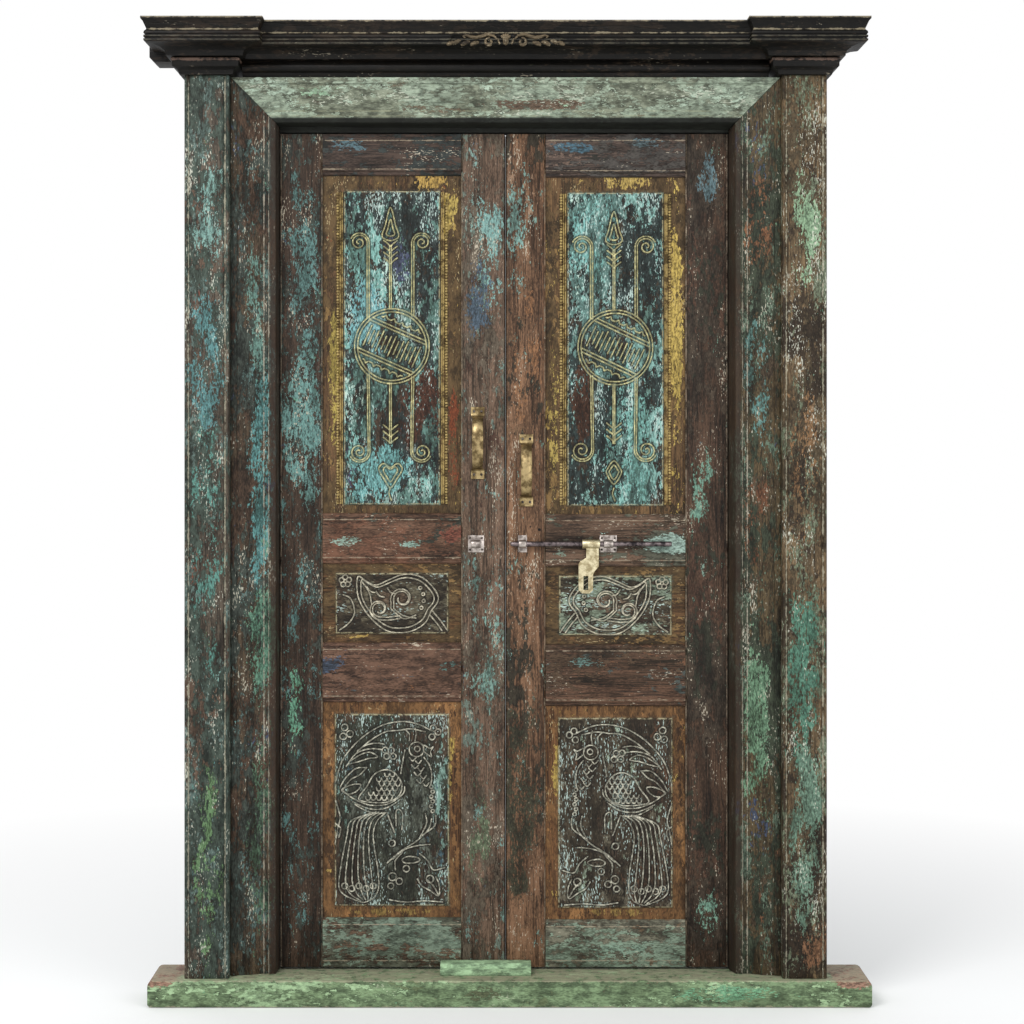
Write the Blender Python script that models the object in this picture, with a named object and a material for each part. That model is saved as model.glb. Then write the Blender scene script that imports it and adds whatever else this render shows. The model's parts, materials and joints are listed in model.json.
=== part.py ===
"""A carved double-leaf wooden door in its moulded frame.

Metres, front towards -Y, +X to the right, +Z up. The origin is on the sill's underside, on the centre
line between the two leaves and halfway through the sill's depth.
"""

import math

import bpy
from mathutils import Matrix, Vector

# Clearances
GAP = 0.0003  # between fixed neighbours
SEAM = 0.0056  # between the closed leaves, at their faces
SEAM_BACK = 0.0005  # the same at their backs: the meeting edges are bevelled so that each leaf clears
HINGE_EDGE_GAP = 0.0025  # between a leaf's outer edge and the jamb
LEAF_FLOOR_GAP = 0.0058  # under the leaves
ROD_CLEARANCE = 0.0006  # round the bolt's rod, on the radius
ROUND_SIDES = 12  # of the rod and of what goes round it

# Sill and its stop block
SILL_DEPTH = 0.148
SILL_HEIGHT = 0.060
SILL_LEFT = 0.807  # the sill's left horn is a little shorter than its right one
SILL_RIGHT = 0.825
SILL_END_ROUND = 0.014
STOP_LEFT = -0.149
STOP_RIGHT = 0.058
STOP_HEIGHT = 0.023
STOP_STEP = 0.010

# Inner frame: jambs and head with one moulded, mitred face
OPENING_HALF = 0.5235
HEAD_CLEARANCE = 0.0195  # between the leaves and the head's soffit
HEAD_REVEAL = 0.0165  # how far the reveal comes in behind the moulded face, down to the leaves
ARCHITRAVE_WIDTH = 0.1012
ARCHITRAVE_SETBACK = 0.0424  # its outer face behind the sill's front
ARCHITRAVE_FALL = 0.020  # how much the splay falls back towards the opening
FRAME_SETBACK = 0.146  # the frame's back behind the sill's front

# Pilasters and necking caps
PILASTER_WIDTH = 0.101
PILASTER_SETBACK = 0.017
CAP_HEIGHT = 0.0378
CAP_PROJECTION = 0.027
CAP_NECK = 0.010

# Cornice: projections are from the pilaster's faces
CORNICE_HEIGHT = 0.079
CROWN_PROJECTION = 0.085
CROWN_BOARD = 0.027
OVOLO_PROJECTION = 0.079
COVE_FOOT = 0.036
BREAK_DEPTH = 0.045  # how far the middle stands back
CORNICE_SETBACK = 0.0617  # the cornice's back behind the sill's front
BED_BEAD = 0.009
SCROLL_HALF = 0.133
SCROLL_HALF_WIDTH = 0.0026
SCROLL_RISE = 0.0045
SCROLL_LIP = 0.0013
SCROLL_ROOT = 0.0217
SCROLL_HEIGHT = 0.0345  # the curls' centres above the cornice's underside
SCROLL_CURL = 0.0125
SCROLL_EYE = 0.0075

# Head beam behind the cornice
BEAM_HEIGHT = 0.070
BEAM_LEFT = 0.812
BEAM_RIGHT = 0.745
BEAM_CHAMFER = 0.010

# Leaves
LEAF_SETBACK = 0.100
LEAF_HEIGHT = 1.9142
OUTER_STILE = 0.0925
LEFT_MEETING_STILE = 0.095
RIGHT_MEETING_STILE = 0.085
LEFT_PANEL_WIDTH = 0.327
RIGHT_PANEL_WIDTH = 0.330
LEFT_HEIGHTS = {"top_rail": 0.0804, "top_panel": 0.8158, "lock_rail": 0.0770,
                "middle_panel": 0.2112, "lower_rail": 0.1071, "bottom_panel": 0.5253,
                "bottom_rail": 0.0974}
RIGHT_HEIGHTS = {"top_rail": 0.0840, "top_panel": 0.8145, "lock_rail": 0.0811,
                 "middle_panel": 0.2084, "lower_rail": 0.1126, "bottom_panel": 0.5210,
                 "bottom_rail": 0.0926}
STILE_MOULDING = 0.004
RAIL_MOULDING = 0.015
LEDGE_MOULDING = 0.025  # the wider ledge under each top panel
MOULDING_DROP = 0.004

# Panels, held in grooves of the stiles and rails
GROOVE_DEPTH = 0.010
GROOVE_WIDTH = 0.012
GROOVE_FROM_FACE = 0.019
TONGUE = 0.008
MARGIN_DROP = 0.010  # the panel's flat margin behind the leaf's face
FIELD_RISE = 0.0045  # the carved field above the margin
TOP_FIELD_WIDTH = 0.223
TOP_FIELD_MARGINS = (0.0185, 0.034)  # below and above the field, from the mouldings
MIDDLE_FIELD_WIDTH = 0.261
MIDDLE_FIELD_MARGIN = 0.020
BOTTOM_FIELD_WIDTH = 0.265
BOTTOM_FIELD_MARGIN = 0.026
BEAD_STRIP = 0.018
TOP_MOTIF_HALF = 161  # half the height that each motif needs, in hundredths of its width
LEAF_MOTIF_HALF = 26.4
LEAF_MOTIF_LIFT = 1.5  # centres the leaf on its field
BIRD_MOTIF_HALF = 82.8
STROKE_HALF = 0.0024  # half the width of a carved line
STROKE_RISE = 0.0024
STROKE_ROOT = 0.0010  # how deep its foot is sunk in the field

# Pulls
PULL_LENGTH = 0.165
PULL_PLATE = 0.020
PULL_PLATE_WIDTH = 0.031
PULL_GRIP_WIDTH = 0.026
PULL_THICKNESS = 0.0045
PULL_REACH = 0.032
LEFT_PULL = (-0.0639, 0.2315)  # x, and the height above the bolt's rod
RIGHT_PULL = (0.0477, 0.1685)

# Slide bolt, drawn clear of the left leaf at rest
ROD_RADIUS = 0.006
ROD_LENGTH = 0.3704
ROD_FROM_FACE = 0.0120  # the rod's axis in front of the leaf's face
ROD_DROP = 0.0430  # the rod's axis below the top of the right leaf's lock rail
BOLT_TRAVEL = 0.1185
SHOT_TIP = -0.108
CATCH = (-0.0861, -0.0494)
NEAR_CLAMP = (0.0285, 0.0492)
FAR_CLAMP = (0.2165, 0.2555)
PLATE_HALF_HEIGHT = 0.0195
PLATE_THICKNESS = 0.002
LOOP_WALL = 0.0022
HASP_KNUCKLE = 0.040
HASP_KNUCKLE_RADIUS = 0.0103
HASP_LENGTH = 0.1138
HASP_THICKNESS = 0.0035
HASP_SLOT = (0.011, 0.032)

# Hinges on the back
HINGE_FROM_BOTTOM = 0.1942  # the outer hinges' middles from the leaf's ends
HINGE_FROM_TOP = 0.1800
HINGE_ABOVE_MIDDLE = 0.0171
HINGE_LENGTH = 0.100
HINGE_BARREL = 0.0065
HINGE_PIN = 0.0030
HINGE_PIN_CLEARANCE = 0.0005
HINGE_FLAP = 0.042
HINGE_FLAP_THICKNESS = 0.0025
HINGE_KNUCKLE_GAP = 0.0008

# Places worked out from the sizes above
FRONT = -SILL_DEPTH / 2
FRAME_BACK = FRONT + FRAME_SETBACK
LEAF_FACE = FRONT + LEAF_SETBACK
LEAF_BACK = FRAME_BACK
LEAF_BOTTOM = SILL_HEIGHT + LEAF_FLOOR_GAP
LEAF_TOP = LEAF_BOTTOM + LEAF_HEIGHT
HEAD_SOFFIT = LEAF_TOP + HEAD_CLEARANCE
HEAD_TOP = HEAD_SOFFIT + ARCHITRAVE_WIDTH
PILASTER_INNER = OPENING_HALF + ARCHITRAVE_WIDTH + GAP
PILASTER_OUTER = PILASTER_INNER + PILASTER_WIDTH
PILASTER_FACE = FRONT + PILASTER_SETBACK
CAP_BOTTOM = HEAD_TOP + GAP
CAP_TOP = CAP_BOTTOM + CAP_HEIGHT
CORNICE_BOTTOM = CAP_TOP + GAP
CORNICE_TOP = CORNICE_BOTTOM + CORNICE_HEIGHT
CORNICE_BACK = FRONT + CORNICE_SETBACK
BED_HALF = PILASTER_INNER - CAP_PROJECTION - GAP
ROD_Y = LEAF_FACE - ROD_FROM_FACE
BARREL_Y = FRAME_BACK + GAP + HINGE_BARREL
HINGE_HEIGHTS = (LEAF_BOTTOM + HINGE_FROM_BOTTOM, (LEAF_BOTTOM + LEAF_TOP) / 2 + HINGE_ABOVE_MIDDLE,
                 LEAF_TOP - HINGE_FROM_TOP)
HASP_LEFT = FAR_CLAMP[0] - 0.0005 - HASP_KNUCKLE


def leaf_levels(heights):
    """The underside of each rail and panel space of a leaf, which together fill its height."""
    share = LEAF_HEIGHT / sum(heights.values())
    levels = {}
    z = LEAF_TOP
    for name, height in heights.items():
        z -= height * share
        levels[name] = z
    return levels


ROD_HEIGHT = leaf_levels(RIGHT_HEIGHTS)["top_panel"] - ROD_DROP


def clear_scene():
    for obj in list(bpy.data.objects):
        bpy.data.objects.remove(obj, do_unlink=True)


def material(name, colour, roughness, metallic=0.0):
    made = bpy.data.materials.new(name)
    made.use_nodes = True
    made.diffuse_color = (*colour, 1.0)
    shader = made.node_tree.nodes["Principled BSDF"]
    shader.inputs["Base Color"].default_value = (*colour, 1.0)
    shader.inputs["Roughness"].default_value = roughness
    shader.inputs["Metallic"].default_value = metallic
    return made


def solid(name, points, faces, finish):
    """An object from points and faces, with its faces turned outwards."""
    mesh = bpy.data.meshes.new(name)
    mesh.from_pydata([tuple(p) for p in points], [], faces)
    mesh.materials.append(finish)
    obj = bpy.data.objects.new(name, mesh)
    bpy.context.scene.collection.objects.link(obj)
    if signed_volume(mesh) < 0:
        mesh.flip_normals()
    return obj


def signed_volume(mesh):
    total = 0.0
    for face in mesh.polygons:
        corners = [mesh.vertices[i].co for i in face.vertices]
        for second, third in zip(corners[1:], corners[2:]):
            total += corners[0].dot(second.cross(third))
    return total


def loft(name, loops, finish, caps=None):
    """A closed solid through loops of equal length, capped at the first and the last.
    caps are the flat faces of one end, as places in its loop, where that is more than one face."""
    count = len(loops[0])
    points = [p for loop in loops for p in loop]
    caps = caps or [list(range(count))]
    faces = caps + [[len(points) - count + i for i in cap[::-1]] for cap in caps]
    for level in range(len(loops) - 1):
        for i in range(count):
            low = level * count
            j = (i + 1) % count
            faces.append([low + j, low + i, low + count + i, low + count + j])
    return solid(name, points, faces, finish)


def prism(name, outline, axis, start, stop, finish):
    """A solid with this outline, in the plane square to the axis, from start to stop along it."""
    place = {"X": lambda a, b, c: (c, a, b),
             "Y": lambda a, b, c: (a, c, b),
             "Z": lambda a, b, c: (a, b, c)}[axis]
    return loft(name, [[place(a, b, c) for a, b in outline] for c in (start, stop)], finish)


def box(name, low, high, finish):
    outline = [(low[0], low[1]), (high[0], low[1]), (high[0], high[1]), (low[0], high[1])]
    return prism(name, outline, "Z", low[2], high[2], finish)


def arc(centre, radius, start, stop, steps):
    """Points on a circle, angles in degrees."""
    turns = [math.radians(start + (stop - start) * i / steps) for i in range(steps + 1)]
    return [(centre[0] + radius * math.cos(t), centre[1] + radius * math.sin(t)) for t in turns]


def boolean(target, tool, operation, own_overlaps=False):
    """Joins a helper to the target or cuts it away, and hides the helper."""
    tool.hide_render = True
    tool.hide_viewport = False
    tool.display_type = "WIRE"
    modifier = target.modifiers.new(operation.title(), "BOOLEAN")
    modifier.operation = operation
    modifier.solver = "EXACT"
    modifier.use_self = own_overlaps
    modifier.object = tool


def make_sill(finish):
    low, high = -SILL_LEFT, SILL_RIGHT
    r = SILL_END_ROUND
    outline = (arc((high - r, SILL_HEIGHT - r), r, 0, 90, 4)
               + arc((low + r, SILL_HEIGHT - r), r, 90, 180, 4)
               + [(low, r / 3), (low + r / 3, 0), (high - r / 3, 0), (high, r / 3)])
    prism("sill", outline, "Y", FRONT, FRONT + SILL_DEPTH, finish)


def make_stop_block(finish):
    front = FRONT + ARCHITRAVE_SETBACK
    back = LEAF_FACE - 0.0025
    low = SILL_HEIGHT + GAP
    step = low + STOP_HEIGHT - STOP_STEP
    outline = [(front, low), (back, low), (back, low + STOP_HEIGHT), (front + 0.022, low + STOP_HEIGHT),
               (front + 0.018, step), (front, step - 0.001)]
    prism("sill_stop_block", outline, "X", STOP_LEFT, STOP_RIGHT, finish)


def architrave_profile(reveal):
    """(distance from the opening, distance behind the sill's front) of the moulded face, reveal and back."""
    outer = ARCHITRAVE_WIDTH
    face = ARCHITRAVE_SETBACK
    sunk = face + ARCHITRAVE_FALL
    hollow = [(0.030 + 0.050 * (1 - i / 4), face + 0.004 + (ARCHITRAVE_FALL - 0.004) * (i / 4) ** 1.4)
              for i in range(5)]
    return ([(outer, FRAME_SETBACK), (outer, face), (outer - 0.014, face), (outer - 0.015, face + 0.004)]
            + hollow
            + [(0.016, sunk + 0.001), (0.015, sunk - 0.003), (0.002, sunk - 0.002), (0, sunk),
               (-reveal, LEAF_SETBACK - 0.002), (-reveal, FRAME_SETBACK)])


def leaf_edge(side):
    """How far a leaf's outer edge is from the centre line."""
    meeting = LEFT_MEETING_STILE if side < 0 else RIGHT_MEETING_STILE
    opening = LEFT_PANEL_WIDTH if side < 0 else RIGHT_PANEL_WIDTH
    return SEAM / 2 + meeting + opening + OUTER_STILE


def hinge_axis(side):
    return side * (leaf_edge(side) + HINGE_EDGE_GAP / 2)


def jamb_reveal(side):
    return OPENING_HALF - leaf_edge(side) - HINGE_EDGE_GAP


def head_end(side):
    """The head's loop at one end. Its reveal comes down below the mitre and butts against the jamb's."""
    step = min(jamb_reveal(side), HEAD_REVEAL - 0.001)
    profile = architrave_profile(step)
    mitre = [(side * (OPENING_HALF + u - GAP), FRONT + d, HEAD_SOFFIT + u) for u, d in profile]
    butt = [(x, y, HEAD_SOFFIT - HEAD_REVEAL) for x, y, z in mitre[-2:]]
    return mitre[:-1] + butt + mitre[-1:]


def make_architrave(finish):
    """Two jambs and the head, mitred where they meet."""
    for name, side in (("left_architrave_jamb", -1), ("right_architrave_jamb", 1)):
        profile = architrave_profile(jamb_reveal(side))
        foot = [(side * (OPENING_HALF + u), FRONT + d, SILL_HEIGHT + GAP) for u, d in profile]
        mitre = [(side * (OPENING_HALF + u), FRONT + d, HEAD_SOFFIT + u - GAP) for u, d in profile]
        loft(name, [foot, mitre], finish)
    ends = [head_end(-1), head_end(1)]
    last = len(ends[0]) - 1
    caps = [list(range(last - 2)) + [last], [last - 3, last - 2, last - 1, last]]
    loft("head_architrave", ends, finish, caps)


def make_pilasters(finish):
    """Planks with a bead near each edge of the front."""
    face = PILASTER_FACE
    bead, quirk = 0.0045, 0.0025
    half = []
    half += [(0, FRAME_BACK), (0, face + bead)]
    half += [(bead - p, face + bead - q) for p, q in arc((0, 0), bead, 0, 180, 4)[1:-1]]
    half += [(2 * bead, face + bead), (2 * bead + quirk, face + quirk), (2 * bead + 2 * quirk, face)]
    outline = [(PILASTER_INNER + x, y) for x, y in half]
    outline += [(PILASTER_OUTER - x, y) for x, y in reversed(half)]
    for name, side in (("left_pilaster", -1), ("right_pilaster", 1)):
        prism(name, [(side * x, y) for x, y in outline], "Z", SILL_HEIGHT + GAP, HEAD_TOP, finish)


def make_caps(finish):
    """A round bead over a hollow neck, on the front and both sides of each pilaster."""
    bead = CAP_HEIGHT * 0.28
    profile = [(CAP_NECK, CAP_BOTTOM), (CAP_NECK + 0.001, CAP_BOTTOM + 0.006)]
    width, rise = CAP_PROJECTION - CAP_NECK - 0.004, CAP_HEIGHT - 2 * bead - 0.006
    profile += [(CAP_NECK + 0.001 + width * (i / 3) ** 2, CAP_BOTTOM + 0.006 + rise * i / 3)
                for i in range(1, 4)]
    profile += arc((CAP_PROJECTION - bead / 2, CAP_TOP - bead / 2), bead / 2, -60, 60, 3)
    profile += [(CAP_PROJECTION - bead / 2, CAP_TOP)]
    for name, side in (("left_necking_cap", -1), ("right_necking_cap", 1)):
        loops = []
        for p, z in profile:
            outer, inner = side * (PILASTER_OUTER + p), side * (PILASTER_INNER - p)
            front = PILASTER_FACE - p
            loops.append([(outer, FRAME_BACK, z), (outer, front, z),
                          (inner, front, z), (inner, FRAME_BACK, z)])
        loft(name, loops, finish)


def cornice_profile():
    """(projection, height) from the cove's foot up to the crown."""
    low, top = CORNICE_BOTTOM, CORNICE_TOP
    board = top - CROWN_BOARD
    cove_top = low + 0.0235
    cove_width = OVOLO_PROJECTION - 0.005 - COVE_FOOT
    cove_rise = cove_top - low - 0.003
    cove = [(COVE_FOOT + cove_width * (1 - math.cos(t)), low + 0.003 + cove_rise * math.sin(t))
            for t in (math.radians(a) for a in (0, 22, 45, 68, 90))]
    o = OVOLO_PROJECTION
    return ([(COVE_FOOT, low)] + cove
            + [(o - 0.002, cove_top + 0.001), (o, cove_top + 0.003), (o, cove_top + 0.0065),
               (o - 0.003, cove_top + 0.0075), (o - 0.003, cove_top + 0.0095), (o, cove_top + 0.0105),
               (o, cove_top + 0.0145), (o - 0.003, cove_top + 0.0155), (o - 0.003, cove_top + 0.0175),
               (o, cove_top + 0.0190), (o - 0.001, cove_top + 0.0235), (o - 0.005, board - 0.001),
               (CROWN_PROJECTION - 0.0115, board + 0.001), (CROWN_PROJECTION - 0.004, top - 0.009),
               (CROWN_PROJECTION, top - 0.005), (CROWN_PROJECTION, top)])


def cornice_loop(p, z):
    """The cornice's plan at this projection: two breaks over the pilasters, and the middle behind."""
    outer, inner = PILASTER_OUTER + p, PILASTER_INNER - p
    front, middle = PILASTER_FACE - p, PILASTER_FACE + BREAK_DEPTH - p
    right = [(inner, middle, z), (inner, front, z), (outer, front, z), (outer, CORNICE_BACK, z)]
    return right + [(-x, y, z) for x, y, z in reversed(right)]


def spiral(centre, start_radius, end_radius, start, sweep, steps, hand=1):
    """Points of a spiral that winds inwards, angles in degrees, mirrored where hand is -1."""
    path = []
    for i in range(steps + 1):
        share = i / steps
        turn = math.radians(start + sweep * share)
        radius = start_radius + (end_radius - start_radius) * share
        path.append((centre[0] + hand * radius * math.cos(turn),
                     centre[1] + radius * math.sin(turn)))
    return path


def make_cornice(finish):
    loops = [cornice_loop(p, z) for p, z in cornice_profile()]
    cornice = loft("cornice", loops, finish)
    bead_y = PILASTER_FACE + BREAK_DEPTH - COVE_FOOT + 0.014
    r = BED_BEAD
    outline = [(CORNICE_BACK, CAP_BOTTOM), (bead_y + 0.008, CAP_BOTTOM), (bead_y + 0.006, CAP_BOTTOM + 0.010)]
    outline += [(bead_y + q, CAP_BOTTOM + 0.012 + r + p) for q, p in arc((0, 0), r, 270, 90, 6)]
    outline += [(bead_y + 0.006, CORNICE_BOTTOM + 0.001), (CORNICE_BACK, CORNICE_BOTTOM + 0.001)]
    bed = prism("cornice_bed_helper", outline, "X", -BED_HALF, BED_HALF, finish)
    boolean(cornice, bed, "UNION")
    face = PILASTER_FACE + BREAK_DEPTH - OVOLO_PROJECTION
    foot, lip = face + SCROLL_ROOT, face - SCROLL_LIP
    section = [(SCROLL_HALF_WIDTH, foot), (SCROLL_HALF_WIDTH, lip), (0, face - SCROLL_RISE),
               (-SCROLL_HALF_WIDTH, lip), (-SCROLL_HALF_WIDTH, foot)]
    strokes = [(path, False) for path in cornice_scroll()]
    scroll = join_strokes("cornice_scroll_helper", strokes, section, finish)
    boolean(cornice, scroll, "UNION", True)


def cornice_scroll():
    """Two mirrored C-scrolls, each with a curl at both ends, in the middle of the cornice."""
    middle = CORNICE_BOTTOM + SCROLL_HEIGHT
    paths = []
    for side in (-1, 1):
        inner = spiral((side * 0.22 * SCROLL_HALF, middle), SCROLL_CURL, SCROLL_EYE, 90, -270, 6, -side)
        outer = spiral((side * 0.86 * SCROLL_HALF, middle), SCROLL_CURL, SCROLL_EYE, 90, -270, 6, side)
        paths.append(inner[::-1] + outer)
    return paths


def make_head_beam(finish):
    """A straight beam with its left horn in view, notched over the caps."""
    low, mid, top = CAP_BOTTOM, CORNICE_BOTTOM, CORNICE_BOTTOM + BEAM_HEIGHT
    c = BEAM_CHAMFER
    outline = [(-BEAM_LEFT + c, mid), (-BED_HALF, mid), (-BED_HALF, low), (BED_HALF, low),
               (BED_HALF, mid), (BEAM_RIGHT, mid), (BEAM_RIGHT, top), (-BEAM_LEFT, top),
               (-BEAM_LEFT, mid + c)]
    prism("head_beam", outline, "Y", CORNICE_BACK + GAP, FRAME_BACK, finish)


def stroke_points(path, closed, section):
    """Points and faces of one carved line that follows the path on a plane facing -Y.

    section lists (across, y) from one foot over the crest to the other foot."""
    count, size = len(path), len(section)
    points, faces = [], []
    for i, (x, z) in enumerate(path):
        before = path[i - 1] if closed or i else path[0]
        after = path[(i + 1) % count] if closed or i < count - 1 else path[-1]
        along = Vector((after[0] - before[0], after[1] - before[1])).normalized()
        if closed or 0 < i < count - 1:
            to_here = Vector((x - before[0], z - before[1])).normalized()
            spread = min(1.0 / max(abs(along.dot(to_here)), 0.6), 1.6)
        else:
            spread = 1.0
        side = Vector((-along[1], along[0])) * spread
        points += [(x + side[0] * across, y, z + side[1] * across) for across, y in section]
    links = count if closed else count - 1
    for i in range(links):
        a, b = size * i, size * ((i + 1) % count)
        faces += [[a + k, b + k, b + (k + 1) % size, a + (k + 1) % size] for k in range(size)]
    if not closed:
        last = size * (count - 1)
        faces += [list(range(size)), [last + k for k in reversed(range(size))]]
    return points, faces


def ridge(base, half_width, rise):
    """A section with a sharp crest, sunk a little below its base plane."""
    foot = half_width * (rise + STROKE_ROOT) / rise
    return [(foot, base + STROKE_ROOT), (0, base - rise), (-foot, base + STROKE_ROOT)]


def join_strokes(name, strokes, section, finish):
    points, faces = [], []
    for path, closed in strokes:
        new_points, new_faces = stroke_points(path, closed, section)
        middle = len(points)
        points += new_points
        faces += [[middle + i for i in face] for face in oriented(new_points, new_faces)]
    mesh = bpy.data.meshes.new(name)
    mesh.from_pydata(points, [], faces)
    mesh.materials.append(finish)
    obj = bpy.data.objects.new(name, mesh)
    bpy.context.scene.collection.objects.link(obj)
    return obj


def oriented(points, faces):
    """The faces of one closed stroke, turned outwards."""
    total = 0.0
    for face in faces:
        corners = [Vector(points[i]) for i in face]
        for second, third in zip(corners[1:], corners[2:]):
            total += corners[0].dot(second.cross(third))
    return [face[::-1] for face in faces] if total < 0 else faces


def circle(centre, radius, steps, squash=1.0):
    return [(centre[0] + radius * math.cos(2 * math.pi * i / steps),
             centre[1] + squash * radius * math.sin(2 * math.pi * i / steps)) for i in range(steps)]


def smooth(anchors, steps=2, closed=False):
    """A curve through a few anchors."""
    count = len(anchors)
    spans = count if closed else count - 1
    path = []
    for i in range(spans):
        if closed:
            a, b, c, d = (anchors[(i + k - 1) % count] for k in range(4))
        else:
            a, b, c, d = (anchors[min(max(i + k - 1, 0), count - 1)] for k in range(4))
        for s in range(steps):
            t = s / steps
            point = []
            for k in (0, 1):
                slope = c[k] - a[k]
                square = 2 * a[k] - 5 * b[k] + 4 * c[k] - d[k]
                cube = 3 * b[k] - a[k] - 3 * c[k] + d[k]
                point.append(b[k] + 0.5 * (slope * t + square * t ** 2 + cube * t ** 3))
            path.append(tuple(point))
    return path if closed else path + [anchors[-1]]


def medallion(tilt):
    """A double ring crossed by a tilted band of shallow strokes, in hundredths of the field's width."""
    strokes = [(circle((0, 0), 39, 24), True), (circle((0, 0), 35.5, 20), True)]
    lean = math.radians(tilt)
    along = Vector((math.cos(lean), -math.sin(lean)))
    across = Vector((math.sin(lean), math.cos(lean)))
    for offset in (17, -17):
        reach = math.sqrt(34.5 ** 2 - offset ** 2)
        ends = [tuple(along * sign * reach + across * offset) for sign in (-1, 1)]
        strokes.append((ends, False))
    for step in range(-3, 4):
        shift = 8.2 * step
        tall = 11 if step % 2 else 8
        strokes.append(([tuple(along * shift + across * sign * tall) for sign in (-1, 1)], False))
    return strokes


def top_motif(tilt, upper, lower, spiral_radius, heart):
    """Medallion, long stems that end in spirals, a bud above, and a heart or a spade below."""
    strokes = medallion(tilt)
    for x, hand in ((-25.5, -1), (22.5, 1)):
        curl = spiral((x + hand * spiral_radius, upper), spiral_radius, 2.5, 180, -480, 9, hand)
        stem = 41 if abs(x) < 10 else math.sqrt(39 ** 2 - x ** 2)
        strokes.append(([(x, stem + 2)] + curl, False))
        curl = spiral((x + hand * spiral_radius, -upper - 2), spiral_radius + 1, 2.5, 180, 480, 9, hand)
        strokes.append(([(x, -stem - 2)] + curl, False))
    strokes.append(([(-1.5, 41), (-1.5, upper - 3)], False))
    strokes.append(([(-1.5, -41), (-1.5, -lower + 22)], False))
    tip, base = upper + 36, upper + 3
    bud = [(-1.5, tip), (-8, base + 12), (-10, base), (-1.5, base - 2), (7, base), (5, base + 12)]
    strokes.append((smooth(bud, 2, True), True))
    for step in (0, 1, 2):
        z = upper - 4 - 7 * step
        strokes.append(([(-9, z + 5), (-1.5, z)], False))
        strokes.append(([(6, z + 5), (-1.5, z)], False))
    for step in (0, 1):
        z = -upper + 20 - 9 * step
        strokes.append(([(-9, z + 6), (-1.5, z)], False))
        strokes.append(([(6, z + 6), (-1.5, z)], False))
    if heart:
        shape = [(-1.5, -3), (-9, 1), (-13.5, -5), (-8, -15), (-1.5, -24), (5, -15), (10.5, -5), (6, 1)]
    else:
        shape = [(-1.5, 4), (-8, -4), (-9, -9), (-1.5, -20), (6, -9), (5, -4)]
    strokes.append((smooth([(x, z - lower) for x, z in shape], 2, True), True))
    strokes.append(([(-1.5, -lower - 26), (-1.5, -lower - 36)], False))
    return strokes


def leaf_motif():
    """A leaf in double outline with its stem, holding two scrolls, in hundredths of the field's width."""
    outline = [(-30, 22), (-22, 17.5), (-14, 14.5), (-3, 19), (8, 23.5), (17, 24), (27, 21), (35, 14),
               (40.5, 5.5), (40, -1), (35, -7.5), (33, -12), (29.5, -18.5), (22, -24), (13, -27), (0, -27),
               (-10, -22.5), (-20, -13), (-27, -2.5), (-30.5, 8)]
    inner = [(x * 0.86 + 0.6, z * 0.80 + 0.5) for x, z in outline]
    strokes = [(outline, True), (inner, True)]
    strokes.append(([(36, -8.5), (43, -17), (49, -25.5)], False))
    strokes.append(([(34, -12), (39.5, -19), (44, -25.5)], False))
    strokes.append(([(20, -14), (8, -15), (0, -6)] + spiral((8, 3), 9, 3, 200, -330, 7), False))
    strokes.append(([(8, -15), (-4, -17)] + spiral((-10, -9), 8, 3, 270, -330, 7), False))
    return strokes


def bird_motif():
    """A bird with a hanging tail under an arching bough, in hundredths of the field's width."""
    strokes = []
    bough = [(-46, 30), (-43, 46), (-34, 58), (-20, 68), (-5, 75.5), (10, 77.5), (22, 75), (30, 71)]
    strokes.append((bough, False))
    strokes.append(([(-38, 46), (-29, 55), (-16, 63), (-3, 69), (10, 71)], False))
    for centre in ((-40, 70), (36, 66), (-1, 49)):
        strokes.append((circle(centre, 6.5, 7), True))
    strokes.append(([(-1.5, 42), (-3, 38)], False))
    strokes.append((smooth([(-33, 45), (-24, 56), (-8, 57.5)], 2), False))
    strokes.append((smooth([(-45, 23), (-38, 34), (-28, 38), (-22, 36), (-30, 30)], 2), False))
    strokes.append((smooth([(-44, 17), (-31, 26), (-27, 22), (-36, 15)], 2), False))
    strokes.append((circle((-6.4, 20.4), 15, 14, 1.08), True))
    strokes.append((circle((-6.4, 20.4), 8.5, 9, 1.08), True))
    strokes.append((circle((20.3, 54), 6.5, 9), True))
    strokes.append(([(26, 58), (36, 53), (33, 46), (25, 50)], False))
    strokes.append(([(12.5, 50), (8, 40), (8.5, 30)], False))
    strokes.append(([(23, 46), (22, 30), (20, 17), (12, 4), (-6, -1.5), (-24, 2)], False))
    strokes.append(([(-26, -2), (-33, -16), (-38, -36), (-45, -60), (-46, -68)], False))
    strokes.append(([(-6, -4), (-14, -13), (-17, -26), (-14, -43), (-13, -57), (-13, -74)], False))
    strokes.append(([(-46, -68), (-40, -75), (-32, -79), (-23, -80), (-13, -74)], False))
    for start, middle, end in ((-22, -31, -38), (-17, -26, -30), (-12, -21, -21)):
        strokes.append(([(start, -5), (middle, -28), (end, -73)], False))
    strokes.append(([(0, -4), (3, -18)], False))
    strokes.append(([(8, 0), (9, -15)], False))
    strokes.append((circle((0, -28), 3.5, 6), True))
    strokes.append(([(-5, -45), (8, -36), (22, -26), (29, -18), (34, -10)], False))
    strokes.append(([(-2, -50), (11, -41), (25, -32), (33, -22)], False))
    strokes.append(([(8, -47), (15, -44), (25, -45), (16, -50)], True))
    strokes.append(([(27, -40)] + spiral((33, -60), 8, 3, 90, -330, 7), False))
    strokes.append(([(12, -52)] + spiral((2, -62), 8, 3, 60, 330, 7), False))
    return strokes


def scaled(strokes, unit, centre, hand):
    """Strokes in hundredths placed in the leaf, mirrored where hand is -1."""
    return [([(centre[0] + hand * x * unit, centre[1] + z * unit) for x, z in path], closed)
            for path, closed in strokes]


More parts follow.
